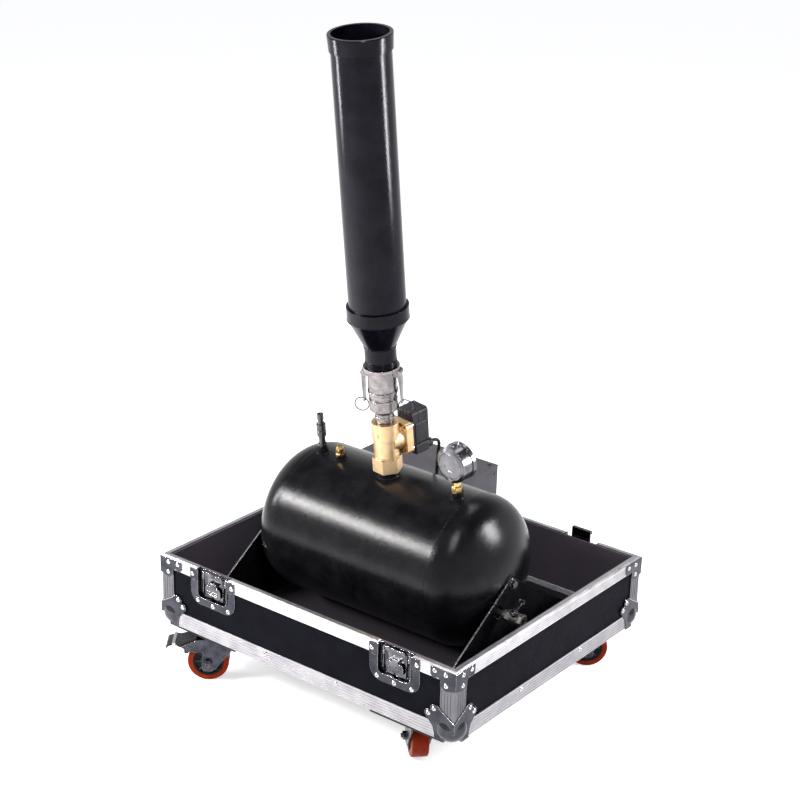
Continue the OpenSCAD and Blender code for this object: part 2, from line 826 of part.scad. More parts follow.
module caster_fork(i, braked) {
    color([0.66, 0.68, 0.72]) trail_frame(i) {
        difference() {
            union() {
                translate([0, 0, crown_top - crown_t]) cylinder(d = race_d - 4, h = crown_t);
                translate([0, -cheek_in - cheek_t, crown_top - crown_t])
                    cube([trail, 2 * (cheek_in + cheek_t), 3]);
                for (s = [-1, 1])
                    upright(s > 0 ? cheek_in : -cheek_in - cheek_t, cheek_t) cheek_outline(braked);
            }
            translate([0, 0, crown_top - crown_t - eps])
                cylinder(d = king_d + 2 * fit, h = crown_t + 2 * eps);
            translate([0, 0, crown_top - crown_t - 20]) cylinder(d = 2 * cheek_in, h = 20);
        }
        translate([trail, cheek_in + cheek_t + 9, wheel_r]) rotate([90, 0, 0])
            cylinder(d = axle_d, h = 2 * (cheek_in + cheek_t + 9) - 8);
        for (s = [-1, 1])
            translate([trail, s > 0 ? cheek_in + cheek_t + 6 : -cheek_in - cheek_t, wheel_r])
                rotate([90, 0, 0])
                difference() {
                    hex(13, 6);
                    translate([0, 0, -eps]) cylinder(d = axle_d - 1, h = 0.1);
                }
        if (braked)
            translate([pedal_pivot_x, cheek_in + cheek_t + 1.5, pedal_pivot_z]) rotate([90, 0, 0])
                cylinder(d = 6, h = 2 * (cheek_in + cheek_t + 1.5));
    }
}

module caster_wheel(i) {
    hub_w = 2 * (cheek_in - gap);
    core_r = wheel_r - tread_t;
    trail_frame(i) translate([trail, 0, wheel_r]) rotate([90, 0, 0]) {
        color([0.1, 0.1, 0.1]) difference() {
            union() {
                cylinder(r = core_r, h = wheel_w - 6, center = true);
                cylinder(r = 12, h = hub_w, center = true);
                for (s = [-1, 1])
                    translate([0, 0, s * (wheel_w / 2 - 2)])
                        rotate_extrude() translate([core_r - 4, -2]) square([4, 3.5]);
            }
            cylinder(d = axle_d + 2 * fit, h = wheel_w + 20, center = true);
        }
        color([0.85, 0.28, 0.12]) rotate_extrude() {
            translate([core_r + fit, -wheel_w / 2 + 3]) square([tread_t - fit, wheel_w - 6]);
            translate([core_r + fit, -wheel_w / 2]) square([tread_t - 3 - fit, wheel_w]);
            for (s = [-1, 1])
                translate([wheel_r - 3, s * (wheel_w / 2 - 3)]) circle(r = 3);
        }
    }
}

// Foot brake: a ribbed pedal with side flanges on the fork's rivet and a bar that presses on the tread
module brake_pedal(i) {
    half = cheek_in - 0.8;
    px = pedal_pivot_x;
    pz = pedal_pivot_z;
    trail_frame(i) {
        color([0.12, 0.12, 0.13]) difference() {
            union() {
                for (s = [-1, 1])
                    upright(s > 0 ? half - 2.5 : -half, 2.5)
                        polygon([[px - 12, pz + 15.5], [px + 26, pz + 5.5], [px + 20, pz + 1],
                            [px + 9, pz - 3], [px + 8, pz - 13], [px + 2.4, pz - 13], [px - 5, pz - 4]]);
                rotate([90, 0, 0]) translate([0, 0, -half]) linear_extrude(height = 2 * half)
                    polygon([[px - 14, pz + 16], [px - 14, pz + 19.5], [px + 20, pz + 10.5],
                        [px + 20, pz + 7]]);
                rotate([90, 0, 0]) translate([0, 0, -half - 3]) linear_extrude(height = 2 * half + 6)
                    polygon([[px + 19, pz + 7.3], [px + 19, pz + 10.8], [px + 38, pz + 5.8],
                        [px + 41, pz + 3], [px + 41, pz - 1], [px + 38, pz - 1], [px + 38, pz + 2.3]]);
                translate([px + 4.5, half - 1, pz - 10.8]) rotate([90, 0, 0])
                    cylinder(r = 2.8, h = 2 * half - 2);
            }
            translate([px, half + 5, pz]) rotate([90, 0, 0]) cylinder(d = 6 + 2 * fit, h = 2 * half + 10);
            for (k = [0:5])
                translate([px - 9 + 5 * k, 0, pz + 18.7 - 1.32 * k]) rotate([0, 14.8, 0])
                    cube([2, 2 * half + 2, 1.6], center = true);
        }
        color([0.8, 0.81, 0.83]) translate([px + 26, 0, pz + 7]) rotate([0, 14.8, 0])
            difference() {
                cube([6, 2 * half + 10, 7], center = true);
                cube([8, 2 * half + 6.2, 3.7], center = true);
            }
    }
}

// Bolts, nuts and washers that hold the casters and the tank's end plates

module mounting_bolts() color([0.75, 0.75, 0.77]) {
    caster_bolt_places() {
        translate([0, 0, caster_h - plate_t - 5]) hex(13, 5);
        translate([0, 0, caster_h - plate_t]) cylinder(d = bolt_d, h = lining_z - caster_h + plate_t);
        translate([0, 0, lining_z]) cylinder(r = washer_r, h = 1.5);
        translate([0, 0, lining_z + 1.5]) hex(13, 6.5);
    }
    for (i = [0:3])
        for (sx = [-1, 1])
            plate_screw(caster_sx[i] * swivel_x + sx * bolt_dx, caster_sy[i] * (swivel_y + bolt_dy));
    plate_screw(bolt_dx - swivel_x, swivel_y - bolt_dy);
    for (s = [-1, 1]) {
        translate([s * (plate_x + end_plate_t), tank_y, tank_z]) rotate([0, s * 90, 0]) {
            cylinder(r = apex_r - 1.5, h = 1.5);
            translate([0, 0, 1.5]) hex(13, 5.3);
            translate([0, 0, -end_plate_t - 12]) cylinder(d = end_bolt_d, h = end_plate_t + 12);
        }
        for (y = foot_screws)
            translate([s * (plate_x - foot_w / 2), y, lining_z + end_plate_t])
                cylinder(r1 = 6, r2 = 4, h = 3);
    }
}

// Head of a wood screw under a caster plate
module plate_screw(x, y) {
    translate([x, y, caster_h - plate_t - 3]) cylinder(r1 = 4, r2 = 6, h = 3);
}

// Tank and its end plates

module at_tank(x, h) {
    translate([x, tank_y, tank_z]) rotate([tank_roll, 0, 0]) translate([0, 0, tank_r + h]) children();
}

module tank_half(t) {
    difference() {
        union() {
            translate([0, -eps]) square([tank_r - t, tank_l / 2 + eps]);
            translate([tank_r - knuckle_r, tank_l / 2]) circle(r = knuckle_r - t);
            intersection() {
                translate([0, crown_x]) circle(r = crown_r - t, $fn = 128);
                square([tangent_r * (crown_r - t) / crown_r, tank_end]);
            }
        }
        translate([-2 * tank_r, -tank_end]) square([2 * tank_r, 3 * tank_end]);
        translate([-tank_r, -tank_end]) square([3 * tank_r, tank_end]);
    }
}

module tank_solid(t) {
    for (s = [0, 1])
        mirror([s, 0, 0]) turned_x() tank_half(t);
}

module tank_shell() color([0.06, 0.06, 0.065]) translate([0, tank_y, tank_z]) {
    difference() {
        union() {
            difference() {
                tank_solid(0);
                tank_solid(tank_t);
            }
            for (s = [-1, 1])
                translate([s * (tank_end - 16), 0, 0]) rotate([0, s * 90, 0])
                    cylinder(r = 16, h = plate_x - tank_end + 16);
            rotate([tank_roll, 0, 0]) translate([0, 0, tank_r]) {
                translate([stack_x, 0, -8]) cylinder(r = bung_r, h = 13);
                translate([stack_x, 0, 0]) cylinder(d = 32, h = foot_h);
                translate([stack_x, 0, 0]) cylinder(d = thread_d - 0.2, h = foot_h + thread_l);
                translate([nipple_x, 0, -8]) cylinder(r = 10.5, h = 14);
                translate([nipple_x, 0, 0]) cylinder(r = 8, h = 10);
                translate([plug_x, 0, -8]) cylinder(r = 10.7, h = 15);
                translate([gauge_x, 0, -8]) cylinder(r = 11, h = 20);
            }
            translate([tank_end - 26, drain_y - tank_y, drain_z - tank_z]) rotate([0, 90, 0])
                cylinder(r = 10, h = 26);
        }
        for (s = [-1, 1])
            translate([s * (plate_x - 13), 0, 0]) rotate([0, s * 90, 0])
                cylinder(d = end_bolt_d + 2 * fit, h = 20);
        rotate([tank_roll, 0, 0]) translate([0, 0, tank_r]) {
            translate([stack_x, 0, -20]) cylinder(r = 11, h = 60);
            translate([nipple_x, 0, -20]) cylinder(r = 5 + fit, h = 40);
            translate([plug_x, 0, -20]) cylinder(r = 5 + fit, h = 40);
            translate([gauge_x, 0, -20]) cylinder(r = 5 + fit, h = 40);
        }
        translate([tank_end - 40, drain_y - tank_y, drain_z - tank_z]) rotate([0, 90, 0])
            cylinder(r = 6 + fit, h = 60);
    }
}

// Outline of an end plate: its two sloping edges run from low feet up to the round apex
module end_plate_outline() {
    foot_y = foot_front - tank_y;
    rise = tank_z - lining_z - end_edge_h;
    slope = atan2(rise, -foot_y) + asin(apex_r / norm([foot_y, rise]));
    tangent_y = -apex_r * sin(slope);
    tangent_z = apex_r * cos(slope);
    base = lining_z - tank_z;
    polygon([[foot_y, base], [foot_y, base + end_edge_h], [tangent_y, tangent_z], [-tangent_y, tangent_z],
        [-foot_y, base + end_edge_h], [-foot_y, base]]);
    circle(r = apex_r);
}

module end_plates() color([0.09, 0.09, 0.095]) {
    for (s = [-1, 1])
        difference() {
            translate([0, tank_y, 0]) union() {
                translate([s > 0 ? plate_x : -plate_x - end_plate_t, 0, tank_z])
                    rotate([90, 0, 90]) linear_extrude(height = end_plate_t) end_plate_outline();
                translate([s > 0 ? plate_x - foot_w : -plate_x, foot_front - tank_y, lining_z])
                    cube([foot_w, 2 * (tank_y - foot_front), end_plate_t]);
            }
            translate([s * (plate_x - 1), tank_y, tank_z]) rotate([0, s * 90, 0])
                cylinder(d = end_bolt_d + 2 * fit, h = end_plate_t + 2);
            if (s > 0)
                translate([plate_x - 1, drain_y, drain_z]) rotate([0, 90, 0])
                    cylinder(r = 12, h = end_plate_t + 2);
        }
}

// Fittings on the tank

module fill_nipple() color([0.08, 0.08, 0.085]) at_tank(nipple_x, 0) {
    difference() {
        rotate_extrude() difference() {
            union() {
                translate([0, -8]) square([5, 20]);
                translate([0, 10]) square([6, 23]);
                translate([0, 12]) square([8, 5]);
                translate([0, 33]) square([8.5, 23]);
                translate([0, 56]) square([4.5, 20]);
                translate([0, 56]) square([6, 4]);
                translate([0, 65]) square([6, 11]);
            }
            translate([9.3, 44]) circle(r = 1.8);
        }
        translate([0, 0, -20]) cylinder(r = 2.5, h = 120);
    }
}

module relief_plug() color([0.75, 0.6, 0.3]) at_tank(plug_x, 0) {
    translate([0, 0, -8]) cylinder(r = 5, h = 16);
    translate([0, 0, 7]) cylinder(r = 8.5, h = 2);
    translate([0, 0, 9]) hex(14, 10);
    translate([0, 0, 19]) cylinder(r1 = 7, r2 = 5, h = 4);
}

module gauge_frame() {
    at_tank(gauge_x, gauge_h) rotate([0, 0, gauge_turn]) children();
}

module gauge_adapter() color([0.75, 0.6, 0.3]) at_tank(gauge_x, 0) {
    difference() {
        union() {
            translate([0, 0, -8]) cylinder(r = 5, h = 21);
            translate([0, 0, 12]) hex(17, 10);
            translate([0, 0, 22]) cylinder(r = 7, h = gauge_h - gauge_d / 2 - 23);
        }
        translate([0, 0, -20]) cylinder(r = 2, h = 80);
    }
}

// Gauge case: the dial looks along +Y, the closed back along -Y
module gauge_case() color([0.78, 0.78, 0.8]) gauge_frame() {
    r = gauge_d / 2;
    difference() {
        union() {
            translate([0, gauge_t / 2, 0]) rotate([90, 0, 0]) cylinder(r = r, h = gauge_t - 3);
            translate([0, -gauge_t / 2 + 3, 0]) rotate([90, 0, 0]) cylinder(r1 = r, r2 = r - 6, h = 3);
            translate([0, gauge_t / 2, 0]) rotate([90, 0, 0]) cylinder(r = r + 2, h = 7);
            translate([0, 0, -r - 1]) cylinder(r = 8, h = 6);
            translate([0, 0, r - 2]) cylinder(r = 5, h = 4);
        }
        translate([0, gauge_t / 2 + eps, 0]) rotate([90, 0, 0]) cylinder(r = r - 2, h = gauge_t - 2);
        translate([0, -gauge_t / 2 + 0.8, 0]) rotate([90, 0, 0]) ring(r - 8, r - 9, 2);
    }
}

module gauge_glass() color([0.85, 0.9, 0.92, 0.4]) gauge_frame()
    translate([0, gauge_t / 2 - 2, 0]) rotate([90, 0, 0]) cylinder(r = gauge_d / 2 - 2 - fit, h = 2);

module gauge_dial() color([0.95, 0.95, 0.95]) gauge_frame()
    difference() {
        translate([0, gauge_t / 2 - 11, 0]) rotate([90, 0, 0]) union() {
            cylinder(r = gauge_d / 2 - 2 - fit, h = 1);
            cylinder(r = 9, h = gauge_t - 13.5);
        }
        translate([0, gauge_t / 2, 0]) rotate([90, 0, 0]) cylinder(r = 1.5 + fit, h = 18);
    }

module gauge_pointer() color([0.05, 0.05, 0.05]) gauge_frame()
    translate([0, gauge_t / 2 - 7, 0]) rotate([0, 135, 0]) {
        rotate([90, 0, 0]) cylinder(r = 1.5, h = 8);
        upright(-1.8, 1.2) {
            circle(r = 4);
            polygon([[-2, 0], [2, 0], [0.5, gauge_d / 2 - 8], [-0.5, gauge_d / 2 - 8]]);
            polygon([[-2.5, 0], [2.5, 0], [3, -10], [-3, -10]]);
        }
    }

module drain_frame() {
    translate([drain_x, drain_y, drain_z]) rotate([drain_turn, 0, 0]) children();
}

module drain_valve() color([0.62, 0.6, 0.55]) drain_frame() {
    inlet = drain_x - tank_end - 8;
    outlet = 16;
    difference() {
        union() {
            translate([-inlet - 8, 0, 0]) rotate([0, 90, 0]) cylinder(r = 6, h = inlet - 10);
            translate([-inlet + 8, 0, 0]) rotate([0, 90, 0]) cylinder(r = 9, h = inlet - 24);
            translate([-17, 0, 0]) rotate([0, 90, 0]) hex(drain_d - 2, 9);
            rotate([0, 90, 0]) cylinder(d = drain_d, h = 18, center = true);
            translate([7, 0, 0]) rotate([0, 90, 0]) hex(drain_d - 2, outlet - 7);
            cylinder(r = 5.5, h = drain_d / 2 + 3);
        }
        rotate([0, 90, 0]) cylinder(r = 4, h = 200, center = true);
        translate([0, 0, 6]) cylinder(r = 3 + fit, h = drain_d);
    }
}

// Lever of the drain valve on its stem, crossing the flow when closed, with a round grip hole
module drain_lever() color([0.7, 0.7, 0.72]) drain_frame() {
    top = drain_d / 2 + 3.4;
    translate([0, 0, 6.5]) cylinder(r = 3, h = top - 5.5);
    translate([0, 0, top]) linear_extrude(height = 2.5) difference() {
        union() {
            circle(r = 6.5);
            translate([-3.5, 0]) square([7, 22]);
            translate([0, 25]) circle(r = 6);
        }
        translate([0, 25]) circle(r = 3.2);
    }
    translate([0, 0, top + 2.5]) hex(8, 3);
}

// Solenoid valve

module valve_frame() {
    at_tank(stack_x, 0) rotate([0, 0, valve_turn]) children();
}

// Cylinder along the valve's side port
module port_rod(r, y0, y1) {
    translate([0, y1, port_z]) rotate([90, 0, 0]) cylinder(r = r, h = y1 - y0);
}

module port_plate(w, y0, y1) {
    translate([0, 0, port_z]) upright(y0, y1 - y0) round_rect(w, w, 7);
}

module port_corners(inset) {
    for (sx = [-1, 1])
        for (sz = [-1, 1])
            translate([sx * (flange_w / 2 - inset), 0, port_z + sz * (flange_w / 2 - inset)])
                children();
}

module valve_body() color([0.78, 0.62, 0.3]) valve_frame() {
    seat_y = 14;
    bore_r = 12;
    chamber_r = 15;
    difference() {
        union() {
            translate([0, 0, foot_h]) hex(valve_d + 1, 26);
            translate([0, 0, foot_h + 26]) cylinder(d = valve_d, h = valve_h - 52);
            translate([0, 0, body_top - 31]) cylinder(d = valve_d + 3, h = 31);
            port_rod(valve_d / 2 + 2, 0, flange_y + 1);
            port_plate(flange_w, flange_y, bonnet_y);
        }
        translate([0, 0, foot_h - eps]) cylinder(d = thread_d, h = thread_l + eps + 0.3);
        translate([0, 0, foot_h]) cylinder(r = bore_r, h = port_z - foot_h - 10);
        translate([0, 0, port_z + 18]) cylinder(r = bore_r, h = valve_h);
        translate([0, 0, body_top - 8.3]) cylinder(d = thread_d, h = 20);
        difference() {
            port_rod(chamber_r, 2, flange_y + 20);
            port_rod(11, -5, seat_y);
        }
        port_rod(8, -12, seat_y + 1);
        translate([0, -7, port_z]) cylinder(r = 6, h = 22);
        port_corners(7) translate([0, bonnet_y + eps, 0]) rotate([90, 0, 0])
            cylinder(d = 5 + 2 * fit, h = 12);
    }
}

module valve_bonnet() color([0.72, 0.57, 0.27]) valve_frame() {
    difference() {
        union() {
            port_plate(flange_w, bonnet_y, bonnet_y + 6);
            port_rod(17, bonnet_y, coil_y);
            port_rod(stem_d / 2, bonnet_y, coil_y + coil_l + 2);
        }
        port_rod(plunger_d / 2 + fit, bonnet_y - eps, coil_y + coil_l - 6);
        port_corners(7) translate([0, bonnet_y + 8, 0]) rotate([90, 0, 0])
            cylinder(d = 5 + 2 * fit, h = 12);
    }
}

module bonnet_screws() color([0.75, 0.75, 0.77]) valve_frame() {
    port_corners(7) translate([0, bonnet_y + 10, 0]) rotate([90, 0, 0]) {
        difference() {
            cylinder(d = 8.5, h = 4);
            translate([0, 0, -eps]) hex(4, 2.5);
        }
        cylinder(d = 5, h = 14);
    }
    port_rod(6, coil_y + coil_l + 2, coil_y + coil_l + 6);
}

// Plunger: a seal disc that closes the seat, on a rod that slides in the bonnet's stem
module valve_plunger() color([0.7, 0.7, 0.72]) valve_frame() {
    port_rod(11, 14.3, 18.3);
    port_rod(plunger_d / 2, 18.3, coil_y + coil_l - 6.5 - plunger_travel);
}

module valve_coil() color([0.08, 0.08, 0.085]) valve_frame() difference() {
    low = port_z - 26;
    high = port_z + 42;
    union() {
        translate([0, 0, (low + high) / 2]) upright(coil_y, coil_l) round_rect(coil_w, high - low, 6);
        translate([0, 0, port_z]) upright(coil_y + 5, coil_l - 10) round_rect(coil_w + 3, 40, 3);
    }
    port_rod(stem_d / 2 + fit, coil_y - 1, coil_y + coil_l + 1);
}

module valve_connector() color([0.1, 0.1, 0.105]) valve_frame() difference() {
    low = port_z - 46;
    high = port_z - 26 - fit;
    union() {
        translate([2, 0, (low + high) / 2]) upright(coil_y + 10, 28) round_rect(28, high - low, 3);
        translate([gland_out[0], coil_y + 37, gland_out[2]]) rotate([-90, 0, 0])
            cylinder(r = 7, h = gland_out[1] - coil_y - 37);
    }
    translate([gland_out[0], coil_y + 25, gland_out[2]]) rotate([-90, 0, 0])
        cylinder(d = cable_d + 0.4, h = 60);
}

// Cable from the connector to the box: a tube swept along two smooth bends

function curve_at(p, t) = pow(1 - t, 3) * p[0] + 3 * t * pow(1 - t, 2) * p[1]
    + 3 * t * t * (1 - t) * p[2] + t * t * t * p[3];

function unit(v) = v / norm(v);

function curve_points(p, steps) = [for (k = [0:steps - 1]) curve_at(p, k / steps)];

module tube_along(pts, r, sides) {
    n = len(pts);
    rings = [for (i = [0:n - 1])
        let (dir = unit(pts[min(i + 1, n - 1)] - pts[max(i - 1, 0)]),
            side = unit(cross(dir, [1, 0, 0])), up = cross(side, dir))
        for (k = [0:sides - 1])
            pts[i] + r * (cos(360 * k / sides) * side + sin(360 * k / sides) * up)];
    skin = [for (i = [0:n - 2]) for (k = [0:sides - 1])
        let (a = i * sides + k, b = i * sides + (k + 1) % sides)
        [a, b, b + sides, a + sides]];
    first = [for (k = [0:sides - 1]) sides - 1 - k];
    last = [for (k = [0:sides - 1]) (n - 1) * sides + k];
    polyhedron(points = rings, faces = concat([first], skin, [last]), convexity = 4);
}

module valve_cable() color([0.06, 0.06, 0.06])
    tube_along(concat([from_valve(gland_out - [0, 12, 0])], curve_points(first_bend, cable_steps),
        curve_points(second_bend, cable_steps), [elbow_top, elbow_floor]), cable_d / 2, cable_sides);

// Control box

module control_box() color([0.07, 0.07, 0.075]) {
    difference() {
        union() {
            translate([box_x, box_y, lining_z]) cube([box_l, box_w, box_h - lid_t]);
            translate([gland_x, box_y - elbow_out, gland_z]) rotate([-90, 0, 0])
                cylinder(r = elbow_r - 0.5, h = elbow_out + 1);
            translate([gland_x, box_y - elbow_out, gland_z - elbow_r])
                cylinder(r = elbow_r, h = elbow_r + elbow_h);
        }
        translate([box_x + box_t, box_y + box_t, lining_z + box_t])
            cube([box_l - 2 * box_t, box_w - 2 * box_t, box_h]);
        translate(elbow_floor) cylinder(d = cable_d + 0.4, h = 2 * elbow_h);
        for (p = socket_places)
            translate([box_x - 1, p[0], p[1]]) rotate([0, 90, 0])
                cylinder(d = socket_hole_d, h = box_t + 2);
    }
    translate([box_x - 1, box_y - 1, box_top - lid_t]) cube([box_l + 2, box_w + 2, lid_t]);
}

// Round chassis sockets on the hidden end of the box
module box_sockets() color([0.2, 0.2, 0.21]) {
    for (p = socket_places)
        translate([box_x, p[0], p[1]]) rotate([0, -90, 0]) difference() {
            union() {
                linear_extrude(height = 2) round_rect(31, 26, 3);
                translate([0, 0, -14]) cylinder(d = socket_hole_d - 2 * fit, h = 15);
            }
            translate([0, 0, -11]) cylinder(r = 9.5, h = 14);
        }
}

// Cam coupling

module coupler_section() {
    difference() {
        union() {
            translate([0, body_top - 8]) square([thread_d / 2 - fit, 10]);
            translate([0, body_top]) square([16, nipple_h + 1]);
            translate([0, body_top + 8]) square([17, 4]);
            polygon([[0, cone_z], [16, cone_z], [coupler_r, lower_z], [coupler_r, groove_z],
                [coupler_r - 1.5, groove_z], [coupler_r - 1.5, groove_z + 5], [coupler_r, groove_z + 5],
                [coupler_r, mouth_z], [coupler_r + 7, mouth_z], [coupler_r + 7, coupler_top],
                [0, coupler_top]]);
            translate([0, groove_z + 12]) square([coupler_r + 1.5, 4]);
        }
        translate([-eps, 0]) square([11 + eps, 400]);
        translate([0, gasket_z]) square([socket_r, 400]);
    }
}

module cam_frame(s) {
    at_tank(stack_x, 0) rotate([0, 0, cam_turn + (s > 0 ? 0 : 180)]) children();
}

module cam_coupler() color([0.62, 0.63, 0.66]) {
    difference() {
        union() {
            at_tank(stack_x, 0) rotate_extrude() coupler_section();
            for (s = [-1, 1])
                cam_frame(s) for (e = [-1, 1])
                    upright(e > 0 ? arm_w / 2 + gap : -arm_w / 2 - gap - 3.5, 3.5) {
                        translate([coupler_r - 2.5, cam_z - 6]) square([cam_x - coupler_r + 2.5, 12]);
                        translate([cam_x, cam_z]) circle(r = 6);
                    }
        }
        for (s = [-1, 1])
            cam_frame(s) translate([socket_r - 3, -arm_w / 2 - gap, cam_z - nose_r - 6])
                cube([20, arm_w + 2 * gap, mouth_z - cam_z + nose_r + 6]);
    }
    for (s = [-1, 1])
        cam_frame(s) translate([cam_x, arm_w / 2 + 4.5, cam_z]) rotate([90, 0, 0])
            cylinder(d = 5, h = arm_w + 9);
}

module cam_gasket() color([0.05, 0.05, 0.05]) at_tank(stack_x, gasket_z) ring(socket_r - fit, 15, gasket_h);

// Lever from the cam's eye down to its tip
module arm_outline() {
    polygon([[cam_x - 2.6, cam_z - 4.4], [cam_x + 4.9, cam_z - 2], [cam_x + 5.6, cam_z - 22],
        [hole_x + 1.5, hole_z + 10], [hole_x + 1.5, hole_z - 3.5], [hole_x - 1.5, hole_z - 3.5],
        [hole_x - 1.5, hole_z + 9], [cam_x + 0.5, cam_z - 22]]);
}

module cam_arm(s) color([0.68, 0.69, 0.72]) cam_frame(s) difference() {
    union() {
        upright(-arm_w / 2, arm_w) arm_outline();
        upright(-arm_w / 2, arm_w) translate([cam_x, cam_z]) circle(r = 5.5);
        upright(-arm_w / 2, arm_w) translate([nose_x, nose_z]) circle(r = nose_r);
    }
    translate([cam_x, arm_w, cam_z]) rotate([90, 0, 0]) cylinder(d = 5 + 2 * fit, h = 2 * arm_w);
    translate([hole_x - 10, 0, hole_z]) rotate([0, 90, 0]) cylinder(r = 2.2, h = 20);
}

module cam_ring(s) color([0.8, 0.8, 0.82]) cam_frame(s)
    translate([ring_x, 0, ring_z]) rotate([90, 0, 0])
    rotate_extrude() translate([ring_d / 2, 0]) circle(d = ring_wire, $fn = 32);

// Barrel

module barrel_base() color([0.07, 0.07, 0.075]) at_tank(stack_x, 0) rotate_extrude() {
    cone_t = 2.5;
    tube_r = barrel_d / 2;
    difference() {
        polygon([[17, seat_z], [adapter_r, seat_z], [adapter_r, neck_z], [neck_d / 2, neck_z],
            [neck_d / 2, neck_top], [tube_r + 3, collar_z], [collar_r, collar_z],
            [collar_r, collar_z + collar_h], [tube_r + fit, collar_z + collar_h],
            [tube_r + fit, tube_z], [tube_r - barrel_t, tube_z], [tube_r - barrel_t, tube_z - 3],
            [neck_d / 2 - cone_t - 1, neck_top + 2], [neck_d / 2 - cone_t - 1, neck_z + 6],
            [17, neck_z + 2]]);
        for (drop = [0, nose_drop])
            translate([nose_x + gap, nose_z - drop]) circle(r = groove_r);
        translate([nose_x + gap - groove_r, nose_z - nose_drop]) square([groove_r, nose_drop]);
        for (k = [0:3])
            translate([neck_d / 2, neck_z + 3 + 2.5 * k]) rotate(45) square([1.1, 1.1], center = true);
    }
}

module barrel_tube() color([0.06, 0.06, 0.065]) at_tank(stack_x, 0) rotate_extrude() {
    r = barrel_d / 2;
    translate([r - barrel_t, tube_z]) square([barrel_t, barrel_l]);
    polygon([[r - 0.5, tube_top - mouth_h], [r + 2.5, tube_top - mouth_h], [r + 4, tube_top - 1.5],
        [r + 3.2, tube_top], [r - 0.5, tube_top]]);
}

case_panels();
lining();
edge_profiles();
rim_profiles();
ball_corners();
corner_braces();
case_rivets();
latch_dishes();
latch_hook(0);  // latch_hook_front_left
latch_hook(1);  // latch_hook_front_right
latch_hook(2);  // latch_hook_back_left
latch_hook(3);  // latch_hook_back_right
latch_knob(0);  // latch_knob_front_left
latch_knob(1);  // latch_knob_front_right
latch_knob(2);  // latch_knob_back_left
latch_knob(3);  // latch_knob_back_right
latch_wing(0);  // latch_wing_front_left
latch_wing(1);  // latch_wing_front_right
latch_wing(2);  // latch_wing_back_left
latch_wing(3);  // latch_wing_back_right
caster_plates();
caster_fork(0, true);  // caster_fork_front_left
caster_fork(1, false);  // caster_fork_front_right
caster_fork(2, true);  // caster_fork_back_left
caster_fork(3, false);  // caster_fork_back_right
caster_wheel(0);  // caster_wheel_front_left
caster_wheel(1);  // caster_wheel_front_right
caster_wheel(2);  // caster_wheel_back_left
caster_wheel(3);  // caster_wheel_back_right
brake_pedal(0);  // brake_pedal_front_left
brake_pedal(2);  // brake_pedal_back_left
mounting_bolts();
end_plates();
tank_shell();
fill_nipple();
relief_plug();
gauge_adapter();
gauge_case();
gauge_glass();
gauge_dial();
gauge_pointer();
drain_valve();
drain_lever();
valve_body();
valve_bonnet();
bonnet_screws();
valve_plunger();
valve_coil();
valve_connector();
valve_cable();
control_box();
box_sockets();
cam_coupler();
cam_gasket();
cam_arm(-1);  // cam_arm_left
cam_arm(1);  // cam_arm_right
cam_ring(-1);  // cam_ring_left
cam_ring(1);  // cam_ring_right
barrel_tube();
barrel_base();
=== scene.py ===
"""Confetti launcher machine: looks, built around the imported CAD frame."""
import math
import random

import bpy
from mathutils import Matrix, Vector


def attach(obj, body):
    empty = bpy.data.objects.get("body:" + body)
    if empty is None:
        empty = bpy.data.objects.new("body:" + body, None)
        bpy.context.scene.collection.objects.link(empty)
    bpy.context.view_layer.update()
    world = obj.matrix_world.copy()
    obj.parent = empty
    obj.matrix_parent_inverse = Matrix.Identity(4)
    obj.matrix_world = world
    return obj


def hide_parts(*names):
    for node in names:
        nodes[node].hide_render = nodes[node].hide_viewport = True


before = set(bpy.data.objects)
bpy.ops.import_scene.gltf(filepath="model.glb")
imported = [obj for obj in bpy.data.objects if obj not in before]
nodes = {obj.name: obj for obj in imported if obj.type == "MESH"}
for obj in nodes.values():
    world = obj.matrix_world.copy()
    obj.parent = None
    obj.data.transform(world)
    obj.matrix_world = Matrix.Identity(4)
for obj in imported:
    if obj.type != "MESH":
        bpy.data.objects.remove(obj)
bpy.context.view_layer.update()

CORNERS = ["front_left", "front_right", "back_left", "back_right"]

# Sizes of the CAD model in millimetres and degrees, and of the floor in metres
CASE_L, CASE_W, CASE_H, CASE_Z = 660, 560, 134, 100
CASE_TOP = CASE_Z + CASE_H
EDGE_T, SHEET_T = 2, 1.2
LINING_Z = 114.5
FRONT_RIVET_X, SIDE_RIVET_Y, PROFILE_RIVET_Z = CASE_L / 2 - 250, CASE_W / 2 - 190, 21.5
LATCH_X, HUB_Z = 204.5, -34.5
DISH_W, DISH_FOOT = 105, -70.5
POCKET_D = 10
SPRING_X, HOOK_RISE = 27, 20
SWIVEL_X, SWIVEL_Y = 224, 228
TRAIL, WHEEL_R, WHEEL_W = 30, 37.5, 30
TREAD_T = 9.5
TRAILS = [217.8, 136.5, 142.2, 38]
SIDES_X, SIDES_Y = [-1, 1, -1, 1], [-1, -1, 1, 1]
PEDAL_X, PEDAL_Z, PEDAL_TILT, CLIP_W = 64.5, 66.8, 14.8, 6.1
RACE_Z, KING_Z, KING_NUT_Z = 82.1, 78.8, 76.2
TANK_Y, TANK_Z, TANK_R, ROLL = -25, 270, 137, 7
TANK_HALF, TANK_END = 169, 253
STACK_X, NIPPLE_X, PLUG_X, GAUGE_X = -4, -154, -113, 147
BUNG_WELDS = [(STACK_X, 20.4, 2.0), (NIPPLE_X, 10.9, 1.5), (PLUG_X, 11.1, 1.5), (GAUGE_X, 11.4, 1.7)]
GAUGE_R, GAUGE_T, GAUGE_H, GAUGE_TURN = 32, 31, 66, -5
DIAL_R, DIAL_START, DIAL_SWEEP = 24.5, 225, 270
VALVE_TURN, BEAD_R, COIL_Y = -10, 23, 63
THREAD_Z, THREAD_PITCH = 216, 2.5
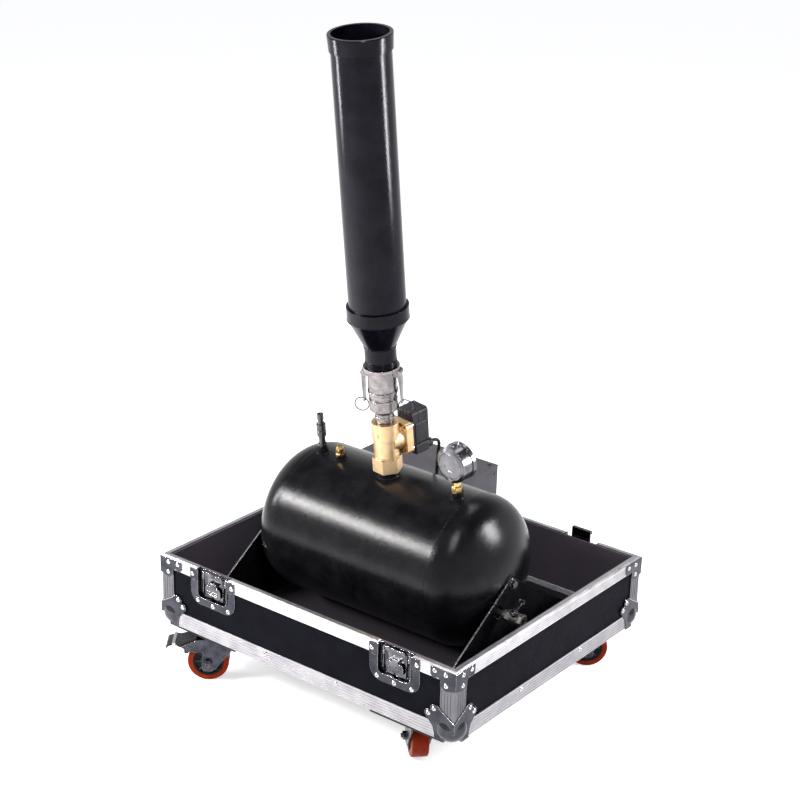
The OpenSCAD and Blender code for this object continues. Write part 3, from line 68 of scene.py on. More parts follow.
NECK_R, NECK_Z, COLLAR_R, COLLAR_Z = 27.9, 249.6, 52.6, 301.6
BOX = (-220, 20, 132, 260, 114.5, 331)
LIT_STRIP, LIT_WASHER = (60, 250, 261.5, 265.2), (262, 150)
GLAND = (-14, 114, 318)
CABLE_D = 6
CABLE_MIDDLE, CABLE_BEFORE, CABLE_AFTER = (-3.7, 29, -18.5), (4.3, -4.5, 13.5), (-15.3, 15.8, -47.7)
CABLE_DROP = 19
OUTLET_X, OUTLET_Z, CONNECTOR_Y = 8, 30, 88
CABLE_START = (84, 96.5, 108.6)
ELBOW_H = 13
PLATE_FOOT = 10
BALL_C, BALL_R, BALL_T = 20, 26, 1
SHEET_EDGE = [(33, 61.6), (27.4, 56.1), (13, 47.4), (-0.6, 39.6)]
POST_LOW = 30.5
FLOOR_HALF, FLOOR_GAP = 40.0, 0.0005


# ---------------------------------------------------------------- camera and light

def camera():
    """Camera that fits the photo, by its turn, height and roll in degrees and its place in metres."""
    az, el, roll = (math.radians(a) for a in (37.837, 21.456, 1.402))
    d = Vector((-math.sin(az) * math.cos(el), math.cos(az) * math.cos(el), -math.sin(el)))
    right = Vector((math.cos(az), math.sin(az), 0))
    up = right.cross(d)
    c, s = math.cos(roll), math.sin(roll)
    r, u = c * right + s * up, -s * right + c * up
    data = bpy.data.cameras.new("photo_camera")
    data.sensor_width = 36
    data.lens = 84.56
    data.clip_end = 50
    cam = bpy.data.objects.new("photo_camera", data)
    cam.matrix_world = Matrix((
        (r.x, u.x, -d.x, 1.8601), (r.y, u.y, -d.y, -2.4132), (r.z, u.z, -d.z, 1.7302), (0, 0, 0, 1)))
    bpy.context.scene.collection.objects.link(cam)
    bpy.context.scene.camera = cam


def lamp(name, place, target, wide, tall, power, tint):
    """Area lamp at a place in metres, turned to its target and hidden from the camera."""
    data = bpy.data.lights.new(name, "AREA")
    data.shape = "RECTANGLE"
    data.size, data.size_y = wide, tall
    data.energy = power
    data.color = tint
    obj = bpy.data.objects.new(name, data)
    obj.location = place
    obj.rotation_euler = (Vector(target) - Vector(place)).to_track_quat("-Z", "Y").to_euler()
    obj.visible_camera = False
    bpy.context.scene.collection.objects.link(obj)


def seen_rays(tree):
    """1 for rays from the camera, from gloss and through glass."""
    path = tree.nodes.new("ShaderNodeLightPath")
    total = path.outputs["Is Camera Ray"]
    for name in ("Is Glossy Ray", "Is Transmission Ray"):
        node = tree.nodes.new("ShaderNodeMath")
        node.operation = "MAXIMUM"
        tree.links.new(total, node.inputs[0])
        tree.links.new(path.outputs[name], node.inputs[1])
        total = node.outputs[0]
    return total


def stage():
    """White studio: backdrop, floor and lamps."""
    scene = bpy.context.scene
    scene.view_settings.view_transform = "Standard"
    world = bpy.data.worlds.new("studio")
    scene.world = world
    world.use_nodes = True
    tree = world.node_tree
    tree.nodes.clear()
    out = tree.nodes.new("ShaderNodeOutputWorld")
    mix = tree.nodes.new("ShaderNodeMixShader")
    soft = tree.nodes.new("ShaderNodeBackground")
    white = tree.nodes.new("ShaderNodeBackground")
    soft.inputs["Color"].default_value = (0.96, 0.97, 1, 1)
    soft.inputs["Strength"].default_value = 0.42
    white.inputs["Color"].default_value = (1, 1, 1, 1)
    tree.links.new(seen_rays(tree), mix.inputs["Fac"])
    tree.links.new(soft.outputs[0], mix.inputs[1])
    tree.links.new(white.outputs[0], mix.inputs[2])
    tree.links.new(mix.outputs[0], out.inputs["Surface"])

    # white backdrop up to 15 degrees over the horizon, and a dim ceiling
    direction = tree.nodes.new("ShaderNodeTexCoord")
    split = tree.nodes.new("ShaderNodeSeparateXYZ")
    fade = tree.nodes.new("ShaderNodeMapRange")
    fade.inputs["From Min"].default_value = 0.26
    fade.inputs["From Max"].default_value = 0.7
    fade.inputs["To Min"].default_value = 1.0
    fade.inputs["To Max"].default_value = 0.12
    tree.links.new(direction.outputs["Generated"], split.inputs[0])
    tree.links.new(split.outputs["Z"], fade.inputs["Value"])
    tree.links.new(fade.outputs[0], white.inputs["Strength"])

    mesh = bpy.data.meshes.new("floor")
    h, low = FLOOR_HALF, -FLOOR_GAP
    mesh.from_pydata([(-h, -h, low), (h, -h, low), (h, h, low), (-h, h, low)], [], [(0, 1, 2, 3)])
    floor = bpy.data.objects.new("floor", mesh)
    scene.collection.objects.link(floor)
    mat = bpy.data.materials.new("floor_paper")
    mat.use_nodes = True
    tree = mat.node_tree
    tree.nodes.clear()
    out = tree.nodes.new("ShaderNodeOutputMaterial")
    paper = tree.nodes.new("ShaderNodeBsdfDiffuse")
    paper.inputs["Color"].default_value = (0.86, 0.86, 0.865, 1)
    glow = tree.nodes.new("ShaderNodeEmission")
    glow.inputs["Strength"].default_value = 0.62
    add = tree.nodes.new("ShaderNodeAddShader")
    none = tree.nodes.new("ShaderNodeMixShader")
    tree.links.new(seen_rays(tree), none.inputs["Fac"])
    tree.links.new(paper.outputs[0], add.inputs[0])
    tree.links.new(glow.outputs[0], add.inputs[1])
    tree.links.new(paper.outputs[0], none.inputs[1])
    tree.links.new(add.outputs[0], none.inputs[2])
    tree.links.new(none.outputs[0], out.inputs["Surface"])
    mesh.materials.append(mat)

    lamp("key", (-1.35, -1.58, 1.42), (0, -0.1, 0.4), 0.95, 0.2, 76, (1, 0.985, 0.97))
    lamp("high", (0.95, -1.05, 2.1), (0.1, -0.05, 0.4), 0.12, 0.9, 18, (0.98, 0.98, 1))
    lamp("top", (-0.3, 0.9, 2.6), (0, 0, 0.3), 1.2, 0.8, 16, (0.95, 0.93, 1))
    lamp("left_strip", (-1.17, -0.7, 0.76), (0, 0, 0.9), 0.12, 0.4, 9, (0.95, 0.93, 1))
    lamp("right_strip", (1.12, 0.6, 0.8), (0, 0, 0.95), 0.16, 0.45, 18, (0.97, 0.95, 1))


# ---------------------------------------------------------------- materials

class Look:
    """A node material on a Principled shader, with coordinates that stay with the piece."""

    def __init__(self, name, rough=0.4, metal=0.0, spec=0.5, coat=0.0):
        self.mat = bpy.data.materials.new(name)
        self.mat.use_nodes = True
        self.tree = self.mat.node_tree
        self.shader = self.tree.nodes["Principled BSDF"]
        self.put("Roughness", rough)
        self.put("Metallic", metal)
        self.put("Specular IOR Level", spec)
        self.put("Coat Weight", coat)
        self.coords = self.tree.nodes.new("ShaderNodeTexCoord").outputs["Object"]
        self.normal = None

    def put(self, socket, value):
        self.shader.inputs[socket].default_value = value

    def link(self, a, b):
        self.tree.links.new(a, b)
        return a

    def math(self, op, a, b=0.0):
        node = self.tree.nodes.new("ShaderNodeMath")
        node.operation = op
        for k, x in enumerate((a, b)):
            if isinstance(x, (int, float)):
                node.inputs[k].default_value = x
            else:
                self.link(x, node.inputs[k])
        return node.outputs[0]

    def vector(self, op, a, b):
        node = self.tree.nodes.new("ShaderNodeVectorMath")
        node.operation = op
        for k, x in enumerate((a, b)):
            if isinstance(x, (tuple, Vector)):
                node.inputs[k].default_value = x
            else:
                self.link(x, node.inputs[k])
        return node.outputs["Value" if op in ("DOT_PRODUCT", "LENGTH") else "Vector"]

    def noise(self, scale, detail=3.0, rough=0.55):
        node = self.tree.nodes.new("ShaderNodeTexNoise")
        node.inputs["Scale"].default_value = scale
        node.inputs["Detail"].default_value = detail
        node.inputs["Roughness"].default_value = rough
        self.link(self.coords, node.inputs["Vector"])
        return node.outputs["Fac"]

    def cells(self, scale):
        node = self.tree.nodes.new("ShaderNodeTexVoronoi")
        node.inputs["Scale"].default_value = scale
        self.link(self.coords, node.inputs["Vector"])
        return node.outputs["Distance"]

    def ramp(self, fac, *stops):
        node = self.tree.nodes.new("ShaderNodeValToRGB")
        while len(node.color_ramp.elements) < len(stops):
            node.color_ramp.elements.new(0.5)
        for element, (at, colour) in zip(node.color_ramp.elements, stops):
            element.position = at
            element.color = (*colour, 1)
        self.link(fac, node.inputs["Fac"])
        return node.outputs["Color"]

    def mix(self, fac, a, b):
        node = self.tree.nodes.new("ShaderNodeMix")
        node.data_type = "RGBA"
        self.link(fac, node.inputs[0])
        for socket, x in ((node.inputs[6], a), (node.inputs[7], b)):
            if isinstance(x, tuple):
                socket.default_value = (*x, 1)
            else:
                self.link(x, socket)
        return node.outputs[2]

    def spread(self, fac, low, high, start=0.3, end=0.7):
        node = self.tree.nodes.new("ShaderNodeMapRange")
        for k, x in enumerate((None, start, end, low, high)):
            if x is not None:
                node.inputs[k].default_value = x
        self.link(fac, node.inputs[0])
        return node.outputs[0]

    def colour(self, value):
        self.link(value, self.shader.inputs["Base Color"])

    def colour_so_far(self):
        return self.shader.inputs["Base Color"].links[0].from_socket

    def place(self):
        """X, Y and Z of a point in the frame, in metres."""
        node = self.tree.nodes.new("ShaderNodeSeparateXYZ")
        self.link(self.coords, node.inputs[0])
        return node.outputs

    def roughness(self, value):
        self.link(value, self.shader.inputs["Roughness"])

    def metallic(self, value):
        self.link(value, self.shader.inputs["Metallic"])

    def round_edges(self, radius):
        node = self.tree.nodes.new("ShaderNodeBevel")
        node.samples = 4
        node.inputs["Radius"].default_value = radius
        self.normal = node.outputs["Normal"]
        self.link(self.normal, self.shader.inputs["Normal"])

    def edge_mask(self):
        """Near 1 where the rounded normal leaves the face's own, which is along edges."""
        geometry = self.tree.nodes.new("ShaderNodeNewGeometry")
        same = self.vector("DOT_PRODUCT", self.normal, geometry.outputs["Normal"])
        return self.spread(same, 1, 0, 0.86, 0.99)

    def crevice(self, distance):
        """Near 1 in grooves and corners, where other faces stand close by: the mask of painted shade."""
        node = self.tree.nodes.new("ShaderNodeAmbientOcclusion")
        node.samples = 6
        node.inputs["Distance"].default_value = distance
        return self.spread(node.outputs["AO"], 1, 0, 0.35, 0.95)

    def bump(self, height, strength, distance):
        node = self.tree.nodes.new("ShaderNodeBump")
        node.inputs["Strength"].default_value = strength
        node.inputs["Distance"].default_value = distance
        self.link(height, node.inputs["Height"])
        if self.normal is not None:
            self.link(self.normal, node.inputs["Normal"])
        self.normal = node.outputs["Normal"]
        self.link(self.normal, self.shader.inputs["Normal"])


def metal(name, dark, light, rough, grain, depth, spots, edge, edges=None, deep=0.0, reach=0.004):
    """Metal whose edges are lightened to the given colour, as wear and painted glint, with painted shade
    darkening its grooves by the share deep.
    """
    look = Look(name, metal=1.0)
    look.round_edges(edge)
    body = look.ramp(look.noise(spots, 4), (0.3, dark), (0.7, light))
    if edges:
        # lighter edges: worn bare metal and painted glint
        body = look.mix(look.math("MULTIPLY", look.edge_mask(), 0.8), body, edges)
    if deep:
        # painted shade: grooves and corners mixed towards near black by the share deep
        body = look.mix(look.math("MULTIPLY", look.crevice(reach), deep), body, (0.02, 0.02, 0.024))
    look.colour(body)
    look.roughness(look.spread(look.noise(spots * 2.3, 4), *rough))
    look.bump(look.noise(grain, 2), 0.5, depth)
    return look


def painted_shade_posts(look):
    """Painted shade on the corner posts: the profile aluminium is darkened between the bottom and the rim
    profiles.
    """
    post = look.math("GREATER_THAN", look.place()["Z"], (CASE_Z + POST_LOW) / 1000)
    look.colour(look.mix(look.math("MULTIPLY", post, 0.75), look.colour_so_far(), (0.06, 0.06, 0.072)))


def paint(name, colour, rough, spec, grain, depth, wear=0.0):
    """Paint, rubber or plastic in a clouded colour, rubbed grey along edges by the share wear."""
    look = Look(name, spec=spec)
    look.round_edges(0.0008)
    lift = tuple(c * 1.7 + 0.004 for c in colour)
    body = look.ramp(look.noise(30, 5), (0.35, colour), (0.75, lift))
    if wear:
        rubbed = look.math("MULTIPLY", look.edge_mask(),
                           look.spread(look.noise(90, 4), 0, wear, 0.5, 0.72))
        body = look.mix(rubbed, body, (0.2, 0.2, 0.21))
    look.colour(body)
    look.roughness(look.spread(look.noise(grain * 0.4, 3), *rough))
    look.bump(look.noise(grain, 3), 0.6, depth)
    return look


def looks():
    """Looks that several pieces share, by name."""
    m = {}
    m["tank"] = paint("tank_paint", (0.003, 0.003, 0.004), (0.15, 0.22), 0.17, 800, 0.00028)
    m["barrel"] = paint("barrel_paint", (0.002, 0.0018, 0.0048), (0.13, 0.19), 0.14, 700, 0.00016)
    m["box"] = paint("box_paint", (0.032, 0.029, 0.037), (0.3, 0.4), 0.32, 900, 0.00018, wear=0.5)
    m["caster_plate"] = paint("plate_paint", (0.008, 0.008, 0.009), (0.35, 0.5), 0.2, 700, 0.00015,
                              wear=0.8)
    m["plastic"] = paint("moulded_plastic", (0.012, 0.011, 0.014), (0.4, 0.52), 0.3, 1600, 0.00008)
    m["oxide"] = paint("black_oxide", (0.006, 0.006, 0.007), (0.08, 0.16), 0.8, 1500, 0.00005,
                       wear=0.9)
    m["rubber"] = paint("black_rubber", (0.008, 0.008, 0.008), (0.5, 0.65), 0.2, 1100, 0.0001)

    look = Look("laminate", spec=0.02)
    look.round_edges(0.0006)
    look.colour(look.ramp(look.noise(25, 5), (0.3, (0.0025, 0.0025, 0.0045)),
                          (0.75, (0.006, 0.006, 0.010))))
    look.roughness(look.spread(look.noise(140, 3), 0.38, 0.55))
    look.bump(look.cells(900), 0.35, 0.00018)
    m["laminate"] = look

    look = Look("lining_foam", rough=0.95, spec=0.06)
    fibre = look.noise(1100, 5, rough=0.7)
    tone = look.ramp(fibre, (0.32, (0.04, 0.034, 0.042)), (0.62, (0.15, 0.128, 0.158)),
                     (0.78, (0.34, 0.30, 0.35)))
    cloth = look.mix(look.spread(look.noise(9, 3), 0, 0.35), tone, (0.06, 0.052, 0.062))
    # painted shade: the lining's floor, up to 0.5 mm above LINING_Z, is darkened towards near black
    floor = look.math("LESS_THAN", look.place()["Z"], (LINING_Z + 0.5) / 1000)
    look.colour(look.mix(look.math("MULTIPLY", floor, 0.8), cloth, (0.008, 0.007, 0.009)))
    look.bump(look.noise(700, 4), 0.9, 0.0009)
    m["lining"] = look

    # in these metals deep is the share of painted shade in grooves, and edges the colour of lighter
    # edges, which is wear and painted glint
    m["profile"] = metal("profile_aluminium", (0.32, 0.31, 0.33), (0.42, 0.41, 0.42), (0.26, 0.4),
                         1400, 0.00002, 35, 0.0002, deep=0.9, reach=0.0016)
    painted_shade_posts(m["profile"])
    m["ball"] = metal("ball_plating", (0.035, 0.035, 0.044), (0.07, 0.07, 0.082), (0.03, 0.08), 500,
                      0.00003, 60, 0.0004, deep=0.6)
    m["rim"] = metal("rim_aluminium", (0.46, 0.45, 0.46), (0.62, 0.61, 0.62), (0.26, 0.42),
                     1400, 0.00002, 35, 0.0002, deep=0.9, reach=0.0016)
    m["zinc"] = metal("zinc_sheet", (0.028, 0.029, 0.037), (0.066, 0.067, 0.079), (0.14, 0.26), 500,
                      0.00005, 45, 0.0006, edges=(0.6, 0.6, 0.62), deep=0.85)
    m["fork"] = metal("fork_zinc", (0.03, 0.031, 0.04), (0.07, 0.071, 0.084), (0.22, 0.36), 700, 0.00005,
                      50, 0.0007, edges=(0.6, 0.6, 0.62), deep=0.8, reach=0.008)
    m["bright"] = metal("bright_zinc", (0.04, 0.04, 0.048), (0.17, 0.168, 0.18), (0.05, 0.12), 600,
                        0.00005, 70, 0.0004, edges=(0.75, 0.75, 0.76), deep=0.85)
    m["rivet"] = metal("rivet_heads", (0.42, 0.42, 0.44), (0.62, 0.62, 0.64), (0.18, 0.3), 900,
                       0.00003, 120, 0.0005, deep=0.6, reach=0.002)
    m["stainless"] = metal("stainless", (0.12, 0.117, 0.127), (0.2, 0.196, 0.21), (0.16, 0.28), 900,
                           0.00003, 60, 0.0006, edges=(0.7, 0.7, 0.72), deep=0.7)
    m["coupling"] = metal("cast_stainless", (0.15, 0.137, 0.137), (0.33, 0.30, 0.30), (0.2, 0.36), 1100,
                          0.00012, 70, 0.0006, edges=(0.8, 0.78, 0.78), deep=0.85, reach=0.006)
    m["screw"] = metal("screw_steel", (0.22, 0.22, 0.24), (0.4, 0.4, 0.42), (0.18, 0.3), 900, 0.00004,
                       150, 0.0003, edges=(0.7, 0.7, 0.72), deep=0.7)
    m["brass"] = metal("brass_cast", (0.66, 0.45, 0.24), (0.82, 0.60, 0.35), (0.34, 0.46), 1500,
                       0.00022, 50, 0.0008, edges=(0.93, 0.76, 0.5), deep=0.6)
    m["brass_turned"] = metal("brass_turned", (0.42, 0.27, 0.09), (0.66, 0.46, 0.19), (0.14, 0.26), 900,
                              0.00004, 70, 0.0004, edges=(0.9, 0.74, 0.4), deep=0.7)
    m["nickel"] = metal("nickel_brass", (0.05, 0.048, 0.046), (0.12, 0.115, 0.11), (0.48, 0.6), 900,
                        0.00006, 60, 0.0005, edges=(0.45, 0.43, 0.4), deep=0.85)

    look = Look("gauge_glass", rough=0.02)
    look.put("Base Color", (0.97, 0.99, 0.99, 1))
    look.put("Transmission Weight", 1.0)
    look.put("IOR", 1.3)
    look.roughness(look.spread(look.noise(30, 3), 0.01, 0.05))
    m["glass"] = look

    look = Look("dial_white", rough=0.4, coat=0.3)
    look.colour(look.ramp(look.noise(80, 3), (0.3, (0.82, 0.82, 0.80)), (0.7, (0.9, 0.9, 0.88))))
    m["dial"] = look

    look = Look("dial_black", rough=0.5)
    look.colour(look.ramp(look.noise(300, 3), (0.3, (0.008, 0.008, 0.009)), (0.7, (0.02, 0.02, 0.02))))
    m["ink"] = look

    # painted light: a light grey for the strip that stands for a lit strip of the lining's floor
    look = Look("grey_strip", rough=0.8)
    look.colour(look.ramp(look.noise(200, 4), (0.3, (0.42, 0.42, 0.44)), (0.7, (0.6, 0.6, 0.62))))
    look.bump(look.noise(900, 3), 0.4, 0.0002)
    m["strip"] = look
    return m


def end_plate_look():
    """Black paint, with the sheared edges of the plates left bare."""
    look = paint("end_plate_paint", (0.003, 0.003, 0.004), (0.24, 0.34), 0.15, 380, 0.0004)
    body = look.colour_so_far()
    geometry = look.tree.nodes.new("ShaderNodeNewGeometry")
    facing = look.tree.nodes.new("ShaderNodeSeparateXYZ")
    look.link(geometry.outputs["True Normal"], facing.inputs[0])
    along = look.math("LESS_THAN", look.math("ABSOLUTE", facing.outputs["X"]), 0.3)
    above = look.math("GREATER_THAN", look.place()["Z"], (LINING_Z + PLATE_FOOT) / 1000)
    bare = look.math("MULTIPLY", along, above)
    look.colour(look.mix(bare, body, (0.45, 0.45, 0.46)))
    look.metallic(bare)
    return look.mat


def wheel_look(i):
    """Orange tread outside the rim of a black core, told apart by the distance from the axle."""
    look = Look("wheel_" + CORNERS[i], spec=0.06)
    look.round_edges(0.0006)
    trail = math.radians(TRAILS[i])
    centre = trail_frame(i) @ Vector((TRAIL, 0, WHEEL_R)) / 1000
    axle = Vector((-math.sin(trail), math.cos(trail), 0))
    offset = look.vector("SUBTRACT", look.coords, centre)
    out = look.vector("LENGTH", look.vector("CROSS_PRODUCT", offset, axle), Vector((0, 0, 0)))
    tread = look.math("GREATER_THAN", out, (WHEEL_R - TREAD_T + 0.02) / 1000)
    orange = look.ramp(look.noise(70, 4), (0.3, (0.18, 0.013, 0.002)), (0.7, (0.30, 0.028, 0.004)))
    dusty = look.mix(look.spread(out, 0, 0.35, 0.0365, 0.0376), orange, (0.11, 0.012, 0.004))
    look.colour(look.mix(tread, (0.012, 0.012, 0.013), dusty))
    look.roughness(look.spread(look.noise(200, 3), 0.3, 0.5))
    look.bump(look.noise(900, 3), 0.4, 0.0001)
    return look.mat


def pedal_look(i):
    """Black pedal with the bright clip round its tip."""
    look = paint("pedal_" + CORNERS[i], (0.010, 0.010, 0.011), (0.36, 0.5), 0.25, 1300, 0.0001, wear=0.3)
    body = look.colour_so_far()
    tilt = math.radians(PEDAL_TILT)
    centre = trail_frame(i) @ Vector((PEDAL_X + 26, 0, PEDAL_Z + 7)) / 1000
    along = trail_frame(i).to_3x3() @ Vector((math.cos(tilt), 0, -math.sin(tilt)))
    reach = look.vector("DOT_PRODUCT", look.vector("SUBTRACT", look.coords, centre), along)
    clip = look.math("LESS_THAN", look.math("ABSOLUTE", reach), CLIP_W / 2000)
    above = look.math("GREATER_THAN", look.place()["Z"], (PEDAL_Z + 2.4) / 1000)
    clip = look.math("MULTIPLY", clip, above)
    look.colour(look.mix(clip, body, (0.45, 0.45, 0.47)))
    look.metallic(clip)
    return look.mat


# ---------------------------------------------------------------- frames and shapes

def shift(x, y, z):
    return Matrix.Translation((x, y, z))


def turn(degrees, axis):
    return Matrix.Rotation(math.radians(degrees), 4, axis)


def at_tank(x, h):
    """Frame on the leaning tank's top line, h above the skin."""
    return shift(x, TANK_Y, TANK_Z) @ turn(ROLL, "X") @ shift(0, 0, TANK_R + h)


def valve_frame():
    return at_tank(STACK_X, 0) @ turn(VALVE_TURN, "Z")


def gauge_frame():
    return at_tank(GAUGE_X, GAUGE_H) @ turn(GAUGE_TURN, "Z")


def latch_frame(i):
    side = -1 if i in (0, 3) else 1
    return turn(180 if i > 1 else 0, "Z") @ shift(side * LATCH_X, -CASE_W / 2, CASE_TOP)


def knob_frame(i):
    return latch_frame(i) @ shift(0, 0, HUB_Z) @ turn(180 if i > 1 else 0, "Y")


def trail_frame(i):
    """Frame on the ground under a caster's king pin, with the wheel out along +X."""
    return shift(SIDES_X[i] * SWIVEL_X, SIDES_Y[i] * SWIVEL_Y, 0) @ turn(TRAILS[i], "Z")


def corner_frame(sx, sy):
    """Frame at a bottom corner of the case, with both walls along +X and +Y."""
    angle = (180 if sx > 0 else 0) if sx * sy > 0 else (90 if sx > 0 else -90)
    return shift(sx * CASE_L / 2, sy * CASE_W / 2, CASE_Z) @ turn(angle, "Z")


def looking(m, x, y, z):
    """Frame at a point of a face that looks along -Y of frame m, with Z out of the face."""
    return m @ shift(x, y, z) @ turn(90, "X")


MIRROR_XY = Matrix(((0, 1, 0, 0), (1, 0, 0, 0), (0, 0, 1, 0), (0, 0, 0, 1)))


class Shape:
    """Gathers faces, in millimetres, and makes one piece of them."""

    def __init__(self):
        self.points, self.faces = [], []

    def put(self, m, points, faces):
        n = len(self.points)
        flip = m.to_3x3().determinant() < 0
        self.points += [m @ Vector(p) for p in points]
        self.faces += [[n + k for k in (reversed(f) if flip else f)] for f in faces]

    def turned(self, m, profile, n=32):
        """Profile of (radius, height), from bottom to top outside, turned round Z and closed."""
        points, faces = [], []
        for r, z in profile:
            for k in range(n):
                a = 2 * math.pi * k / n
                points.append((r * math.cos(a), r * math.sin(a), z))
        rows = len(profile)
        for j in range(rows - 1):
            for k in range(n):
                a, b = j * n + k, j * n + (k + 1) % n
                faces.append((a, b, b + n, a + n))
        if profile[0] != profile[-1]:
            faces.append(tuple(reversed(range(n))))
            faces.append(tuple(range((rows - 1) * n, rows * n)))
        self.put(m, points, faces)

    def hexagon(self, m, across, height, chamfer=0.6):
        r = across / 2 / math.cos(math.pi / 6)
        self.turned(m, [(r - chamfer, 0), (r, chamfer), (r, height - chamfer), (r - chamfer, height)], 6)

    def tube(self, m, path, r, n=10, closed=False, radii=None):
        path = [Vector(p) for p in path]
        count = len(path)
        points, faces = [], []
        side = None
        for j, p in enumerate(path):
            a = path[(j - 1) % count] if closed or j else path[0]
            b = path[(j + 1) % count] if closed or j < count - 1 else path[-1]
            d = (b - a).normalized()
            if side is None:
                side = d.orthogonal().normalized()
            side = (side - d * side.dot(d)).normalized()
            other = d.cross(side)
            rr = radii[j] if radii else r
            for k in range(n):
                t = 2 * math.pi * k / n
                points.append(p + rr * (math.cos(t) * side + math.sin(t) * other))
        for j in range(count if closed else count - 1):
            for k in range(n):
                a, b = j * n + k, j * n + (k + 1) % n
                c, d = ((j + 1) % count) * n + (k + 1) % n, ((j + 1) % count) * n + k
                faces.append((a, b, c, d))
        if not closed:
            faces.append(tuple(reversed(range(n))))
            faces.append(tuple(range((count - 1) * n, count * n)))
        self.put(m, points, faces)

    def slab(self, m, outline, z0, z1, inset=0.4):
        """Plate with a chamfer round its top; the outline runs anticlockwise."""
        n = len(outline)
        cx = sum(p[0] for p in outline) / n
        cy = sum(p[1] for p in outline) / n
        small = []
        for x, y in outline:
            d = math.hypot(x - cx, y - cy) or 1
            small.append((x - (x - cx) / d * inset, y - (y - cy) / d * inset))
        points = [(x, y, z0) for x, y in outline] + [(x, y, z1 - inset) for x, y in outline]
        points += [(x, y, z1) for x, y in small]
        faces = [tuple(reversed(range(n))), tuple(range(2 * n, 3 * n))]
        for j in (0, 1):
            for k in range(n):
                a, b = j * n + k, j * n + (k + 1) % n
                faces.append((a, b, b + n, a + n))
        self.put(m, points, faces)

    def box(self, m, x0, x1, y0, y1, z0, z1, inset=0.4):
        self.slab(m, [(x0, y0), (x1, y0), (x1, y1), (x0, y1)], z0, z1, inset)

    def done(self, name, look, body="case", slot=None, sharp=35):
        mesh = bpy.data.meshes.new(name)
        mesh.from_pydata([p / 1000 for p in self.points], [], self.faces)
        mesh.validate()
        mesh.polygons.foreach_set("use_smooth", [True] * len(mesh.polygons))
        mesh.set_sharp_from_angle(angle=math.radians(sharp))
        mesh.materials.append(look.mat if isinstance(look, Look) else look)
        obj = bpy.data.objects.new(name, mesh)
        bpy.context.scene.collection.objects.link(obj)
        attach(obj, body)
        return obj


def round_outline(w, h, r, n=5, cx=0, cy=0):
    """Rectangle with rounded corners, anticlockwise."""
    points = []
    for sx, sy, start in ((1, 1, 0), (-1, 1, 90), (-1, -1, 180), (1, -1, 270)):
        for k in range(n + 1):
            a = math.radians(start + 90 * k / n)
            points.append((cx + sx * (w / 2 - r) + r * math.cos(a),
                           cy + sy * (h / 2 - r) + r * math.sin(a)))
    return points


def arc(r, z, n, start=0, sweep=360):
    """Points round Z, from start on and without the one where the sweep ends."""
    angles = (math.radians(start + sweep * k / n) for k in range(n))
    return [(r * math.cos(a), r * math.sin(a), z) for a in angles]


# ---------------------------------------------------------------- pieces

def curve_at(p, t):
    """Point of a cubic curve with four control points."""
    return (1 - t) ** 3 * p[0] + 3 * t * (1 - t) ** 2 * p[1] + 3 * t * t * (1 - t) * p[2] + t ** 3 * p[3]


def valve_cord(m):
    """Cable of the valve, on the same two bends as in the CAD model."""
    inside, start, steer = (valve_frame() @ Vector((OUTLET_X, y, OUTLET_Z)) for y in CABLE_START)
    middle = start + Vector(CABLE_MIDDLE)
    top = Vector(GLAND) + Vector((0, 0, ELBOW_H))
    bends = ((start, steer, middle + Vector(CABLE_BEFORE), middle),
             (middle, middle + Vector(CABLE_AFTER), top + Vector((0, 0, CABLE_DROP)), top))
    path = [inside] + [curve_at(b, k / 16) for b in bends for k in range(16)] + [top, Vector(GLAND)]
    shape = Shape()
    shape.tube(Matrix(), path, CABLE_D / 2, 16)
    cable = shape.done("valve_cable_smooth", m["rubber"], slot="rubber")
    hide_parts("valve_cable")


def ball_shells(m):
    """Round ball of each bottom corner where it stands out of the three faces, and a bright bead along
    the sheet edges as painted highlight.
    """
    balls, edges = Shape(), Shape()
    rows, n = 28, 56
    centre = Vector((BALL_C, BALL_C, BALL_C))
    for sx in (-1, 1):
        for sy in (-1, 1):
            base = corner_frame(sx, sy)
            points = []
            for j in range(rows + 1):
                tilt = math.pi * j / rows
                for k in range(n):
                    a = 2 * math.pi * k / n
                    wide = math.sin(tilt)
                    out = Vector((wide * math.cos(a), wide * math.sin(a), -math.cos(tilt)))
                    points.append(centre + BALL_R * out)
            outer = []
            for j in range(rows):
                for k in range(n):
                    f = (j * n + k, j * n + (k + 1) % n, (j + 1) * n + (k + 1) % n, (j + 1) * n + k)
                    middle = sum((points[q] for q in f), Vector()) / 4
                    if min(middle) < -0.2 or max(middle) < BALL_C:
                        outer.append(f)
            deep = len(points)
            inner = [tuple(deep + q for q in reversed(f)) for f in outer]
            steps = {(f[q], f[(q + 1) % 4]) for f in outer for q in range(4)}
            rim = [(b, a, deep + a, deep + b) for a, b in steps if (b, a) not in steps]
            points += [centre + (p - centre) * (1 - BALL_T / BALL_R) for p in points]
            balls.put(base, points, outer + inner + sorted(rim))
            # painted highlight: a bead of bright metal along the V edge of each sheet
            for face in (base, base @ MIRROR_XY):
                edges.tube(face, [(x, -SHEET_T, z) for x, z in SHEET_EDGE], 0.55, 8)
    balls.done("corner_balls", m["ball"], slot="zinc")
    edges.done("corner_edge_highlights", m["rivet"], slot="zinc")


